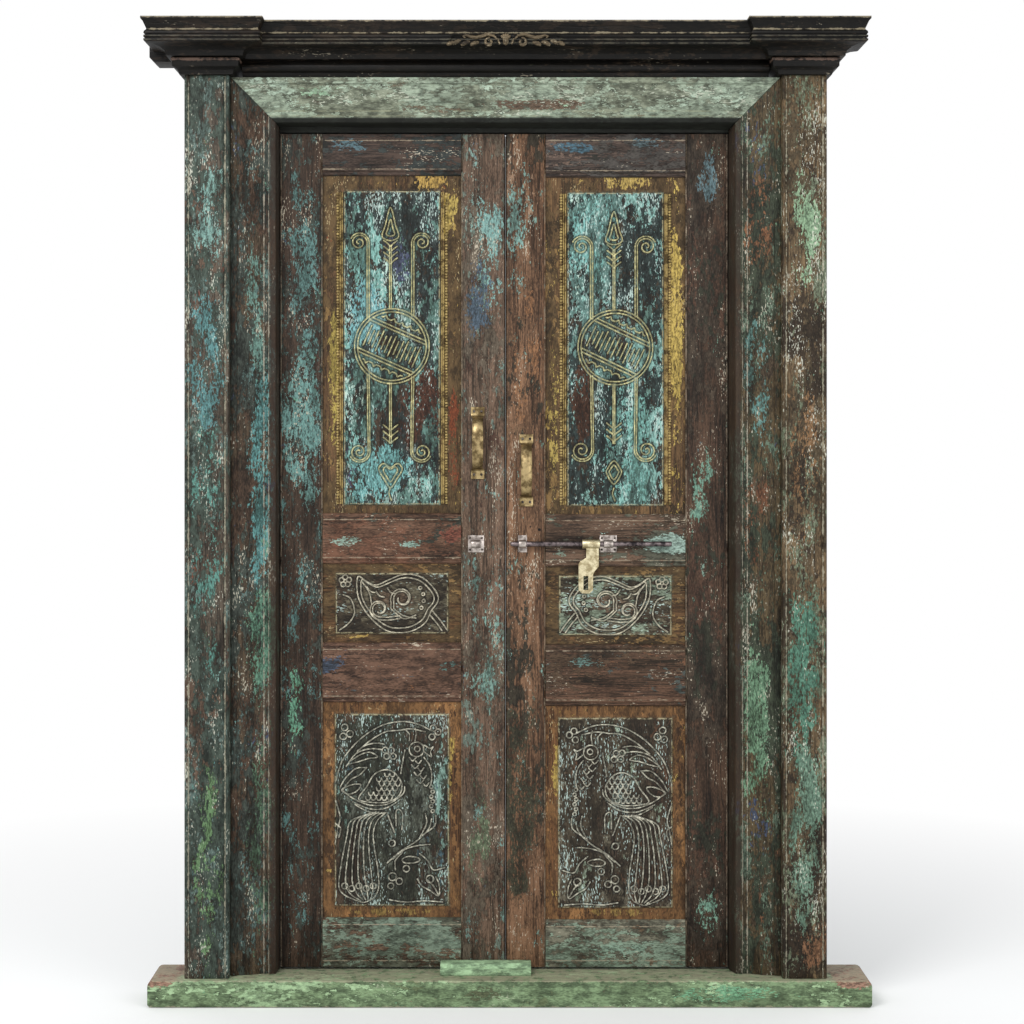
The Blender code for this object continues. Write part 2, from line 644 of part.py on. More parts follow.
def make_panel(name, x0, x1, z0, z1, field, strokes, beads, finish):
    """A panel with a tongue all round, a flat margin and a raised, carved field.

    x0 to z1 is the clear opening between the mouldings and field is (left, right, bottom, top)."""
    back = LEAF_FACE + GROOVE_FROM_FACE + GROOVE_WIDTH - GAP
    shoulder = LEAF_FACE + GROOVE_FROM_FACE + GAP
    margin = LEAF_FACE + MARGIN_DROP
    face = margin - FIELD_RISE

    def loop(left, right, low, high, y):
        return [(left, y, low), (right, y, low), (right, y, high), (left, y, high)]

    left, right, low, high = field
    slope = 0.003
    loops = [loop(x0 - TONGUE, x1 + TONGUE, z0 - TONGUE, z1 + TONGUE, back),
             loop(x0 - TONGUE, x1 + TONGUE, z0 - TONGUE, z1 + TONGUE, shoulder),
             loop(x0 + GAP, x1 - GAP, z0 + GAP, z1 - GAP, shoulder),
             loop(x0 + GAP, x1 - GAP, z0 + GAP, z1 - GAP, margin),
             loop(left, right, low, high, margin),
             loop(left + slope, right - slope, low + slope, high - slope, face)]
    panel = loft(name, loops, finish)
    lines = join_strokes(name + "_carving_helper", strokes, ridge(face, STROKE_HALF, STROKE_RISE), finish)
    boolean(panel, lines, "UNION", True)
    if beads:
        strips = []
        for x in (left - BEAD_STRIP / 2 - 0.0005, right + BEAD_STRIP / 2 + 0.0005):
            strips.append(([(x, low + 0.004), (x, high - 0.004)], False))
        section = ridge(margin, BEAD_STRIP / 2 - 0.002, FIELD_RISE + 0.001)
        rods = join_strokes(name + "_bead_helper", strips, section, finish)
        boolean(panel, rods, "UNION", True)
    return panel


def rail_outline(low, high, low_moulding, high_moulding):
    """(y, z) of a rail between its panels: face, stepped mouldings and grooves.

    A moulding of 0 is a plain edge."""
    groove = LEAF_FACE + GROOVE_FROM_FACE

    def edge(z, inwards, moulding):
        """From the back over the groove and the moulding to the face. inwards is 1 at the lower edge."""
        if not moulding:
            return [(LEAF_BACK, z), (LEAF_FACE, z)]
        steps = [(LEAF_BACK, 0), (groove + GROOVE_WIDTH, 0), (groove + GROOVE_WIDTH, GROOVE_DEPTH),
                 (groove, GROOVE_DEPTH), (groove, 0), (LEAF_FACE + 2 * MOULDING_DROP, 0),
                 (LEAF_FACE + MOULDING_DROP, 0.003), (LEAF_FACE + MOULDING_DROP, moulding - 0.006),
                 (LEAF_FACE + 0.001, moulding - 0.005), (LEAF_FACE + 0.001, moulding - 0.002),
                 (LEAF_FACE, moulding)]
        return [(y, z + inwards * up) for y, up in steps]

    return edge(low, 1, low_moulding) + edge(high, -1, high_moulding)[::-1]


def make_stile(name, outer, inner, finish, bevel=0.0):
    """A stile from its plain edge to its grooved and moulded edge, as x positions.

    bevel is how much wider the plain edge is at the back."""
    turn = 1 if inner > outer else -1
    groove = LEAF_FACE + GROOVE_FROM_FACE
    bottom = groove + GROOVE_WIDTH
    deep = inner - turn * GROOVE_DEPTH
    outline = [(outer - turn * bevel, LEAF_BACK), (outer, LEAF_FACE + 0.001),
               (outer + turn * 0.001, LEAF_FACE), (inner - turn * STILE_MOULDING, LEAF_FACE),
               (inner - turn * 0.003, LEAF_FACE + MOULDING_DROP),
               (inner, LEAF_FACE + MOULDING_DROP + 0.001), (inner, groove), (deep, groove),
               (deep, bottom), (inner, bottom), (inner, LEAF_BACK)]
    prism(name, outline, "Z", LEAF_BOTTOM, LEAF_TOP, finish)


def motif_unit(field, half_height):
    """A hundredth of the field's width, or less where the motif would be taller than the field."""
    return min((field[1] - field[0]) / 100, (field[3] - field[2]) / (2 * half_height))


def make_leaf(side, heights, meeting, opening, finish):
    """One leaf of two stiles, four rails and three panels. side is -1 for the left leaf."""
    word = "left" if side < 0 else "right"
    edge = SEAM / 2
    near = edge + meeting + STILE_MOULDING
    far = edge + meeting + opening - STILE_MOULDING
    outer = leaf_edge(side)
    bevel = (SEAM - SEAM_BACK) / 2
    make_stile(word + "_meeting_stile", side * edge, side * near, finish["leaf"], bevel)
    make_stile(word + "_outer_stile", side * outer, side * far, finish["leaf"])
    x0, x1 = sorted((side * (near + GAP), side * (far - GAP)))

    m, ledge = RAIL_MOULDING, LEDGE_MOULDING
    levels = leaf_levels(heights)
    top_low, lock_high = levels["top_rail"], levels["top_panel"]
    lock_low, lower_high = levels["lock_rail"], levels["middle_panel"]
    lower_low, bottom_high = levels["lower_rail"], levels["bottom_panel"]
    rails = (("top_rail", top_low - m, LEAF_TOP, m, 0),
             ("lock_rail", lock_low - m, lock_high + ledge, m, ledge),
             ("lower_rail", lower_low - m, lower_high + m, m, m),
             ("bottom_rail", LEAF_BOTTOM, bottom_high + m, 0, m))
    for name, low, high, low_moulding, high_moulding in rails:
        outline = rail_outline(low, high, low_moulding, high_moulding)
        prism(f"{word}_{name}", outline, "X", x0, x1, finish["leaf"])

    p0, p1 = sorted((side * near, side * far))
    centre = (p0 + p1) / 2

    low, high = lock_high + ledge, top_low - m
    below, above = TOP_FIELD_MARGINS
    half = TOP_FIELD_WIDTH / 2
    field = (centre - half, centre + half, low + below, high - above)
    unit = motif_unit(field, TOP_MOTIF_HALF)
    ring = field[2] + (field[3] - field[2]) * 0.505
    if side < 0:
        lines = top_motif(24, 107, 122, 8.5, True)
    else:
        lines = top_motif(25.6, 104, 121, 9.5, False)
    strokes = scaled(lines, unit, (centre, ring), 1)
    make_panel(word + "_top_panel", p0, p1, low, high, field, strokes, True, finish["panel"])

    low, high = lower_high + m, lock_low - m
    half = MIDDLE_FIELD_WIDTH / 2
    field = (centre - half, centre + half, low + MIDDLE_FIELD_MARGIN, high - MIDDLE_FIELD_MARGIN)
    unit = motif_unit(field, LEAF_MOTIF_HALF)
    strokes = scaled(leaf_motif(), unit, (centre, (low + high) / 2 + LEAF_MOTIF_LIFT * unit), -side)
    make_panel(word + "_middle_panel", p0, p1, low, high, field, strokes, False, finish["panel"])

    low, high = bottom_high + m, lower_low - m
    half = BOTTOM_FIELD_WIDTH / 2
    field = (centre - half, centre + half, low + BOTTOM_FIELD_MARGIN, high - BOTTOM_FIELD_MARGIN)
    unit = motif_unit(field, BIRD_MOTIF_HALF)
    strokes = scaled(bird_motif(), unit, (centre, (low + high) / 2), -side)
    make_panel(word + "_bottom_panel", p0, p1, low, high, field, strokes, False, finish["panel"])


def make_pull(name, place, finish):
    """A bowed strap grip between two flat plates, cast in one."""
    x, z = place[0], ROD_HEIGHT + place[1]
    half = PULL_LENGTH / 2
    grip = half - PULL_PLATE
    wall = LEAF_FACE - GAP
    stations = [(-half, 0, PULL_PLATE_WIDTH), (-grip, 0, PULL_PLATE_WIDTH)]
    for i in range(9):
        share = -1 + 2 * (i + 0.5) / 9
        reach = PULL_REACH * (1 - abs(share) ** 3.2) ** 0.8
        stations.append((share * grip * 0.98, reach, PULL_GRIP_WIDTH * (0.82 + 0.18 * (1 - share ** 2))))
    stations += [(grip, 0, PULL_PLATE_WIDTH), (half, 0, PULL_PLATE_WIDTH)]
    loops = []
    for i, (along, reach, width) in enumerate(stations):
        flat = reach == 0
        before, after = stations[max(i - 1, 0)], stations[min(i + 1, len(stations) - 1)]
        run = Vector((after[0] - before[0], after[1] - before[1])).normalized()
        if flat:
            run = Vector((1, 0))
        thick = PULL_THICKNESS * (0.6 if flat else 1.0)
        crest = thick + (0.0003 if flat else 0.0025)
        inner = Vector((along, reach))
        normal = Vector((-run[1], run[0]))
        outline = []
        for across, out in ((-0.5, 0), (0.5, 0), (0.5, thick * 0.7), (0, crest), (-0.5, thick * 0.7)):
            at = inner + normal * out
            outline.append((x + across * width, wall - at[1], z + at[0]))
        loops.append(outline)
    loft(name, loops, finish)


def make_loop(name, span, finish, wings):
    """A plate with a half-round strap over the rod. The plate runs past it by the wings."""
    left, right = span
    wall = LEAF_FACE - GAP
    inner = ROD_RADIUS + ROD_CLEARANCE
    outer = inner + LOOP_WALL
    outline = [(wall, ROD_HEIGHT - outer)]
    outline += arc((ROD_Y, ROD_HEIGHT), outer, 270, 90, 8)
    outline += [(wall, ROD_HEIGHT + outer)]
    strap = prism(name, outline, "X", left + wings, right - wings, finish)
    plate = box(name + "_plate_helper", (left, wall - PLATE_THICKNESS, ROD_HEIGHT - PLATE_HALF_HEIGHT),
                (right, wall, ROD_HEIGHT + PLATE_HALF_HEIGHT), finish)
    boolean(strap, plate, "UNION")
    ring = circle((ROD_Y, ROD_HEIGHT), inner / math.cos(math.pi / ROUND_SIDES), ROUND_SIDES)
    hole = prism(name + "_hole_helper", ring, "X", left - 0.01, right + 0.01, finish)
    boolean(strap, hole, "DIFFERENCE")


def make_rod(finish):
    """The bolt's rod, drawn back, with a rounded tip."""
    start = SHOT_TIP + BOLT_TRAVEL
    stop = start + ROD_LENGTH
    loops = []
    tip = ((start, 0.45), (start + 0.003, 0.85), (start + 0.007, 1), (stop - 0.002, 1), (stop, 0.8))
    for x, share in tip:
        ring = circle((ROD_Y, ROD_HEIGHT), ROD_RADIUS * share, ROUND_SIDES)
        loops.append([(x, y, z) for y, z in ring])
    rod = loft("bolt_rod", loops, finish)
    round_shade(rod)


def make_hasp(finish):
    """A knuckle on the rod with a cranked, slotted flap that hangs from it."""
    left, right = HASP_LEFT, HASP_LEFT + HASP_KNUCKLE
    ring = circle((ROD_Y, ROD_HEIGHT), HASP_KNUCKLE_RADIUS, ROUND_SIDES)
    hasp = prism("bolt_hasp", ring, "X", left, right, finish)
    low = ROD_HEIGHT - HASP_LENGTH
    neck_left, neck_right = left + 0.009, right - 0.002
    body_left, body_right = left - 0.0085, neck_right - 0.013
    shoulder = ROD_HEIGHT - 0.048
    corner = 0.008
    flap = [(neck_right, ROD_HEIGHT), (neck_right, shoulder - 0.004), (body_right + 0.004, shoulder - 0.014),
            (body_right, shoulder - 0.022), (body_right, low + corner), (body_right - corner, low),
            (body_left + corner, low), (body_left, low + corner), (body_left, shoulder + 0.002),
            (body_left + 0.004, shoulder + 0.008), (neck_left, shoulder + 0.016), (neck_left, ROD_HEIGHT)]
    back = ROD_Y + HASP_KNUCKLE_RADIUS - 0.003
    plate = prism("hasp_flap_helper", flap, "Y", back - HASP_THICKNESS, back, finish)
    boolean(hasp, plate, "UNION")
    middle = (body_left + body_right) / 2
    wide, tall = HASP_SLOT
    slot = box("hasp_slot_helper", (middle - wide / 2, back - 0.02, low + 0.008),
               (middle + wide / 2, back + 0.02, low + 0.008 + tall), finish)
    boolean(hasp, slot, "DIFFERENCE")
    inner = ROD_RADIUS + ROD_CLEARANCE
    ring = circle((ROD_Y, ROD_HEIGHT), inner / math.cos(math.pi / ROUND_SIDES), ROUND_SIDES)
    hole = prism("hasp_hole_helper", ring, "X", left - 0.01, right + 0.01, finish)
    boolean(hasp, hole, "DIFFERENCE")


def make_hinge(word, side, number, z, finish):
    """A butt hinge on the hidden back: the pin is on the frame's flap."""
    axis = hinge_axis(side)
    third = HINGE_LENGTH / 3
    low, high = z - HINGE_LENGTH / 2, z + HINGE_LENGTH / 2
    plate_y = (FRAME_BACK + GAP, FRAME_BACK + GAP + HINGE_FLAP_THICKNESS)
    lap = 0.35 * HINGE_BARREL

    def plate(name, towards, start, stop):
        x0, x1 = sorted((axis + towards * 0.001, axis + towards * HINGE_FLAP))
        return box(name, (x0, plate_y[0], start), (x1, plate_y[1], stop), finish)

    def knuckle(name, start, stop):
        ring = [(axis + x, BARREL_Y + y) for x, y in circle((0, 0), HINGE_BARREL, 8)]
        return prism(name, ring, "Z", start, stop, finish)

    frame = knuckle(f"{word}_frame_flap_{number}", low, high)
    boolean(frame, plate(f"{word}_frame_plate_helper_{number}", side, low, high), "UNION")
    clear = HINGE_BARREL + HINGE_PIN_CLEARANCE
    room = box(f"{word}_room_helper_{number}", (axis - clear - lap, FRAME_BACK - 0.002, low + third),
               (axis + clear + lap, BARREL_Y + clear, high - third), finish)
    boolean(frame, room, "DIFFERENCE")
    pin = prism(f"{word}_pin_helper_{number}",
                [(axis + x, BARREL_Y + y) for x, y in circle((0, 0), HINGE_PIN, 8)], "Z",
                low + third - 0.005, high - third + 0.005, finish)
    boolean(frame, pin, "UNION")

    start, stop = low + third + HINGE_KNUCKLE_GAP, high - third - HINGE_KNUCKLE_GAP
    leaf = knuckle(f"{word}_leaf_flap_{number}", start, stop)
    boolean(leaf, plate(f"{word}_leaf_plate_helper_{number}", -side, low, high), "UNION")
    for name, a, b in (("low", low - 0.001, start), ("high", stop, high + 0.001)):
        trim = box(f"{word}_{name}_trim_helper_{number}", (axis - clear - lap, FRAME_BACK - 0.002, a),
                   (axis + clear + lap, BARREL_Y + clear, b), finish)
        boolean(leaf, trim, "DIFFERENCE")
    hole = prism(f"{word}_hole_helper_{number}",
                 [(axis + x, BARREL_Y + y) for x, y in
                  circle((0, 0), (HINGE_PIN + HINGE_PIN_CLEARANCE) / math.cos(math.pi / 8), 8)],
                 "Z", start - 0.002, stop + 0.002, finish)
    boolean(leaf, hole, "DIFFERENCE")


def round_shade(obj):
    for face in obj.data.polygons:
        face.use_smooth = len(face.vertices) == 4


def hang_on_axes():
    """Puts the origin of each moving piece on its joint's axis."""
    rod_axis = Vector((HASP_LEFT, ROD_Y, ROD_HEIGHT))
    carried = {"bolt_catch": -1, "bolt_near_clamp": 1, "bolt_far_clamp": 1}
    fixed = ("pilaster", "jamb", "cap", "frame_flap", "helper")
    for obj in list(bpy.data.objects):
        side = carried.get(obj.name, {"left": -1, "right": 1}.get(obj.name.split("_")[0]))
        if obj.name in ("bolt_rod", "bolt_hasp"):
            axis = rod_axis
        elif side and not any(word in obj.name for word in fixed):
            axis = Vector((hinge_axis(side), BARREL_Y, LEAF_BOTTOM))
        else:
            continue
        obj.data.transform(Matrix.Translation(-axis))
        obj.location = axis


def main():
    clear_scene()
    sill_paint = material("worn sage green paint", (0.33, 0.42, 0.27), 0.75)
    head_paint = material("sage green paint", (0.30, 0.37, 0.28), 0.75)
    frame_paint = material("layered brown and teal paint", (0.20, 0.17, 0.14), 0.7)
    cornice_paint = material("dark brown paint", (0.035, 0.027, 0.022), 0.55)
    leaf_paint = material("layered leaf paint", (0.17, 0.13, 0.11), 0.7)
    panel_paint = material("layered turquoise panel paint", (0.14, 0.20, 0.19), 0.7)
    brass = material("brass", (0.72, 0.55, 0.26), 0.35, 1.0)
    pale_brass = material("pale brass", (0.80, 0.70, 0.45), 0.4, 1.0)
    steel = material("steel", (0.55, 0.53, 0.50), 0.4, 1.0)
    iron = material("dark iron", (0.09, 0.08, 0.075), 0.5, 1.0)

    make_sill(sill_paint)
    make_stop_block(sill_paint)
    make_architrave(frame_paint)
    bpy.data.objects["head_architrave"].data.materials[0] = head_paint
    make_pilasters(frame_paint)
    make_caps(cornice_paint)
    make_cornice(cornice_paint)
    make_head_beam(cornice_paint)

    finish = {"leaf": leaf_paint, "panel": panel_paint}
    make_leaf(-1, LEFT_HEIGHTS, LEFT_MEETING_STILE, LEFT_PANEL_WIDTH, finish)
    make_leaf(1, RIGHT_HEIGHTS, RIGHT_MEETING_STILE, RIGHT_PANEL_WIDTH, finish)

    make_pull("left_pull", LEFT_PULL, brass)
    make_pull("right_pull", RIGHT_PULL, brass)
    make_loop("bolt_catch", CATCH, steel, 0.008)
    make_loop("bolt_near_clamp", NEAR_CLAMP, steel, 0.002)
    make_loop("bolt_far_clamp", FAR_CLAMP, steel, 0.009)
    make_rod(iron)
    make_hasp(pale_brass)
    for word, side in (("left", -1), ("right", 1)):
        for number, z in enumerate(HINGE_HEIGHTS, start=1):
            make_hinge(word, side, number, z, iron)
    hang_on_axes()


main()
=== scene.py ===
"""The looks of an old carved double-leaf door in its moulded frame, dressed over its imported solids."""

import json
import math

import bpy
import numpy as np
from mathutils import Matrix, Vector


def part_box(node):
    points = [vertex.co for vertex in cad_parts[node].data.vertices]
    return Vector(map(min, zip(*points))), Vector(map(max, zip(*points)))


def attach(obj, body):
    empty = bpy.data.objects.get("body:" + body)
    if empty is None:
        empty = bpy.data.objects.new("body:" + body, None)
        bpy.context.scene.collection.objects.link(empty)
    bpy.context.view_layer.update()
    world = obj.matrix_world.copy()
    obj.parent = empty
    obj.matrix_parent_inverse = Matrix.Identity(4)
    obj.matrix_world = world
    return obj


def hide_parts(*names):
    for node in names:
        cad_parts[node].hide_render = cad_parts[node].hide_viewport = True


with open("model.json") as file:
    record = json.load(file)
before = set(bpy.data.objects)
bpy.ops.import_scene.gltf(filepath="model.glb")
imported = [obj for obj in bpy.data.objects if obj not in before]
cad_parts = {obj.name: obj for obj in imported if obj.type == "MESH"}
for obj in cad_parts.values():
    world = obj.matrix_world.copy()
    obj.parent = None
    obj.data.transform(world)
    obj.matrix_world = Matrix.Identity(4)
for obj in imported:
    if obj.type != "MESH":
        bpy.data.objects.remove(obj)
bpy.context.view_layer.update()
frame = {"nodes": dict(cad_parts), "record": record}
body_of = {node: body for body, nodes in frame["record"]["behaviour"]["bodies"].items() for node in nodes}


# Studio: a flat pale floor that fades to white away from the door, soft light from the front and above,
# and the camera straight before the door, a little above its middle, as in the photograph.
def place(tree, kind, sockets=None, **settings):
    """Adds a shader node, with its settings, and sets or links its sockets."""
    node = tree.nodes.new(kind)
    for name, value in settings.items():
        setattr(node, name, value)
    for name, value in (sockets or {}).items():
        if isinstance(value, bpy.types.NodeSocket):
            tree.links.new(value, node.inputs[name])
        else:
            node.inputs[name].default_value = value
    return node


FADE_START, FADE_STOP = 0.9, 2.8
bpy.ops.object.select_all(action="DESELECT")
bpy.ops.mesh.primitive_plane_add(size=1, location=(0, -0.5, -0.001))
floor = bpy.context.object
floor.name = "studio_floor"
floor.scale = (14, 10, 1)
bpy.ops.object.transform_apply(scale=True, location=True)
floor_paint = bpy.data.materials.new("pale studio floor")
floor_paint.use_nodes = True
tree = floor_paint.node_tree
matt = tree.nodes["Principled BSDF"]
matt.inputs["Base Color"].default_value = (0.92, 0.92, 0.91, 1)
matt.inputs["Roughness"].default_value = 0.9
away = place(tree, "ShaderNodeVectorMath", {0: place(tree, "ShaderNodeTexCoord").outputs["Object"]},
             operation="LENGTH").outputs["Value"]
fade = place(tree, "ShaderNodeMapRange", {"Value": away, "From Min": FADE_START,
                                          "From Max": FADE_STOP}).outputs[0]
to_camera = place(tree, "ShaderNodeLightPath").outputs["Is Camera Ray"]
share = place(tree, "ShaderNodeMath", {0: fade, 1: to_camera}, operation="MULTIPLY").outputs[0]
glow = place(tree, "ShaderNodeEmission").outputs[0]
mixed = place(tree, "ShaderNodeMixShader", {0: share, 1: matt.outputs[0], 2: glow}).outputs[0]
tree.links.new(mixed, tree.nodes["Material Output"].inputs["Surface"])
floor.data.materials.append(floor_paint)

world = bpy.data.worlds.new("studio")
bpy.context.scene.world = world
world.use_nodes = True
tree = world.node_tree
sky = tree.nodes["Background"]
sky.inputs["Color"].default_value = (0.96, 0.98, 1.0, 1)
sky.inputs["Strength"].default_value = 0.80
backdrop = place(tree, "ShaderNodeBackground", {"Color": (1, 1, 1, 1)}).outputs[0]
to_camera = place(tree, "ShaderNodeLightPath").outputs["Is Camera Ray"]
mixed = place(tree, "ShaderNodeMixShader", {0: to_camera, 1: sky.outputs[0], 2: backdrop}).outputs[0]
tree.links.new(mixed, tree.nodes["World Output"].inputs["Surface"])
bpy.context.scene.view_settings.view_transform = "Standard"
bpy.context.scene.cycles.diffuse_bounces = 2
bpy.context.scene.cycles.glossy_bounces = 2


def soft_light(name, stand, aim, size, power):
    bpy.ops.object.light_add(type="AREA", location=stand)
    lamp = bpy.context.object
    lamp.name = name
    lamp.data.shape = "RECTANGLE"
    lamp.data.size, lamp.data.size_y = size
    lamp.data.energy = power
    toward = [a - b for a, b in zip(aim, stand)]
    lamp.rotation_euler = (math.atan2(math.hypot(toward[0], toward[1]), -toward[2]), 0,
                           math.atan2(-toward[0], toward[1]))


soft_light("key_light", (-2.2, -3.6, 4.2), (0, 0, 1.1), (2.2, 2.2), 150)
soft_light("fill_light", (2.6, -3.4, 2.0), (0, 0, 1.1), (2.0, 2.6), 45)

bpy.ops.object.camera_add(location=(-0.0173, -4.774, 1.286), rotation=(math.radians(90), 0, 0))
camera = bpy.context.object
camera.data.sensor_width = 36
camera.data.lens = 73.44
camera.data.shift_x = 0.01367
camera.data.shift_y = -0.0742
bpy.context.scene.camera = camera


# Sill: one thick beam, painted sage green over pinkish wood. The paint is scratched all over, and most
# of it has gone from the two horns that stand out beside the pilasters.
def pick(*pieces):
    """Selects only these pieces, the first of them active."""
    bpy.ops.object.select_all(action="DESELECT")
    for piece in pieces:
        piece.select_set(True)
    bpy.context.view_layer.objects.active = pieces[0]


def eased(name, width, loops=2, angle=25):
    """A copy of a solid with its triangles joined into faces and its arrises eased."""
    source = frame["nodes"][name]
    piece = bpy.data.objects.new("worn_" + name, source.data.copy())
    bpy.context.scene.collection.objects.link(piece)
    pick(piece)
    if piece.data.has_custom_normals:
        bpy.ops.mesh.customdata_custom_splitnormals_clear()
    bpy.ops.object.mode_set(mode="EDIT")
    bpy.ops.mesh.select_all(action="SELECT")
    bpy.ops.mesh.remove_doubles(threshold=0.00002)
    bpy.ops.mesh.dissolve_limited(angle_limit=math.radians(1))
    bpy.ops.mesh.normals_make_consistent(inside=False)
    bpy.ops.object.mode_set(mode="OBJECT")
    bevel = piece.modifiers.new("Eased", "BEVEL")
    bevel.width = width
    bevel.segments = loops
    bevel.limit_method = "ANGLE"
    bevel.angle_limit = math.radians(angle)
    bpy.ops.object.modifier_apply(modifier="Eased")
    bpy.ops.object.shade_smooth_by_angle(angle=math.radians(40))
    return piece


def settle(piece, name, material):
    """Gives a piece its material and puts it in the place of a solid, on that solid's body."""
    piece.data.materials.clear()
    piece.data.materials.append(material)
    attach(piece, body_of[name])
    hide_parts(name)
    return piece


def rgb(red, green, blue):
    """A colour of 0 to 255 as shader values."""
    return tuple((c / 255 / 12.92) if c / 255 <= 0.04045 else ((c / 255 + 0.055) / 1.055) ** 2.4
                 for c in (red, green, blue)) + (1.0,)


def sums(tree, operation, first, second=0.0):
    return place(tree, "ShaderNodeMath", {0: first, 1: second}, operation=operation).outputs[0]


def plus(tree, first, second):
    return sums(tree, "ADD", first, second)


def minus(tree, first, second):
    return sums(tree, "SUBTRACT", first, second)


def times(tree, first, second):
    return sums(tree, "MULTIPLY", first, second)


def vectors(tree, operation, first, second):
    return place(tree, "ShaderNodeVectorMath", {0: first, 1: second}, operation=operation).outputs[0]


def over(tree, share, below, above, kind="MIX"):
    """Lays one colour over another."""
    return place(tree, "ShaderNodeMix", {0: share, 6: below, 7: above}, data_type="RGBA",
                 blend_type=kind).outputs[2]


def multiplied(tree, colour, factor):
    """A colour with its channels multiplied."""
    return over(tree, 1.0, colour, (*factor, 1), "MULTIPLY")


def ramp(tree, value, start, stop, low=0.0, high=1.0):
    """A soft step from low to high between two values."""
    return place(tree, "ShaderNodeMapRange", {"Value": value, "From Min": start, "From Max": stop,
                                              "To Min": low, "To Max": high},
                 interpolation_type="SMOOTHSTEP").outputs[0]


def stretched(tree, coords, stretch, shift):
    return vectors(tree, "ADD", vectors(tree, "MULTIPLY", coords, stretch), shift)


def noise(tree, vector, scale, detail, roughness):
    return place(tree, "ShaderNodeTexNoise", {"Vector": vector, "Scale": scale, "Detail": detail,
                                              "Roughness": roughness}).outputs["Fac"]


def new_group(name, outputs, **inputs):
    """A node group with named sockets. A socket's name is written with _ for a space, and its kind follows
    from its value. Of the outputs, Color is a colour and the others are numbers."""
    tree = bpy.data.node_groups.new(name, "ShaderNodeTree")
    for label, value in inputs.items():
        kind = {3: "Vector", 4: "Color"}[len(value)] if isinstance(value, tuple) else "Float"
        tree.interface.new_socket(label.replace("_", " "), in_out="INPUT",
                                  socket_type="NodeSocket" + kind).default_value = value
    for label in outputs:
        kind = "Color" if label == "Color" else "Float"
        tree.interface.new_socket(label, in_out="OUTPUT", socket_type="NodeSocket" + kind)
    return tree, tree.nodes.new("NodeGroupInput").outputs, tree.nodes.new("NodeGroupOutput").inputs


# Timber: fibres, broader bands of tone and a few cracks, all drawn out along the grain.
timber, given, gives = new_group("Old timber", ("Color", "Height"), Coords=(0, 0, 0), Along=(1, 1, 0.05),
                                 Shift=(0, 0, 0), Dark=(0.02, 0.015, 0.01, 1), Light=(0.2, 0.12, 0.08, 1),
                                 Cracks=0.5)
grain = stretched(timber, given["Coords"], given["Along"], given["Shift"])
fibres = noise(timber, grain, 300, 2, 0.7)
bands = noise(timber, grain, 34, 3, 0.65)
tone = plus(timber, times(timber, fibres, 0.5), times(timber, bands, 0.5))
split = sums(timber, "ABSOLUTE", minus(timber, noise(timber, grain, 17, 3, 0.6), 0.5))
crack = times(timber, ramp(timber, split, 0.002, 0.010, 1, 0), ramp(timber, bands, 0.47, 0.56))
crack = times(timber, crack, given["Cracks"])
wood_colour = over(timber, ramp(timber, tone, 0.36, 0.60), given["Dark"], given["Light"])
timber.links.new(over(timber, crack, wood_colour, (0.005, 0.004, 0.003, 1)), gives["Color"])
timber.links.new(minus(timber, times(timber, fibres, 0.5), crack), gives["Height"])

# A coat of paint: left where broad and fine noise together are high, with a painted shadow along its edge.
coat, given, gives = new_group("Worn coat of paint", ("Color", "Mask"), Coords=(0, 0, 0), Along=(1, 1, 0.2),
                               Shift=(0, 0, 0), Patch_Size=9.0, Left=0.5, Below=(0, 0, 0, 1),
                               Paint=(0.5, 0.5, 0.5, 1))
spread = stretched(coat, given["Coords"], given["Along"], given["Shift"])
broad = noise(coat, spread, given["Patch Size"], 3, 0.62)
fine = noise(coat, spread, times(coat, given["Patch Size"], 9.0), 3, 0.75)
level = plus(coat, broad, times(coat, minus(coat, fine, 0.5), 0.85))
away = minus(coat, level, ramp(coat, given["Left"], 0.0, 1.0, 0.80, 0.20))
mask = ramp(coat, away, -0.008, 0.012)
# Painted shadow: a dark line on the layer below, just outside the coat's edge.
edge = sums(coat, "ABSOLUTE", plus(coat, away, 0.014))
edge_shadow = times(coat, ramp(coat, edge, 0.0, 0.016, 1, 0), 0.5)
shaded = over(coat, edge_shadow, given["Below"], (0.004, 0.0035, 0.003, 1))
body_tone = over(coat, ramp(coat, fine, 0.36, 0.64), multiplied(coat, given["Paint"], (0.42, 0.42, 0.42)),
                 multiplied(coat, given["Paint"], (1.22, 1.22, 1.22)))
coat.links.new(over(coat, mask, shaded, body_tone), gives["Color"])
coat.links.new(mask, gives["Mask"])

# Scrapes and dirt: thin pale flecks in zones, and dark soil between them.
scrape, given, gives = new_group("Scrapes and dirt", ("Color",), Coords=(0, 0, 0), Along=(1, 1, 0.1),
                                 Shift=(0, 0, 0), Amount=0.3, Dirt=0.5, Below=(0, 0, 0, 1),
                                 Bare=(0.5, 0.5, 0.5, 1))
strokes_at = stretched(scrape, given["Coords"], given["Along"], given["Shift"])
thin = noise(scrape, strokes_at, 420, 1, 0.6)
zone = noise(scrape, strokes_at, 26, 3, 0.7)
level = plus(scrape, times(scrape, thin, 0.5), times(scrape, zone, 0.5))
pale = ramp(scrape, minus(scrape, level, ramp(scrape, given["Amount"], 0.0, 1.0, 0.66, 0.44)), 0.0, 0.03)
soil = plus(scrape, times(scrape, zone, 0.6), times(scrape, thin, 0.4))
soil = times(scrape, ramp(scrape, soil, 0.40, 0.54, 1, 0), given["Dirt"])
soiled = over(scrape, soil, given["Below"], multiplied(scrape, given["Below"], (0.22, 0.20, 0.17)))
scrape.links.new(over(scrape, times(scrape, pale, 0.8), soiled, given["Bare"]), gives["Color"])

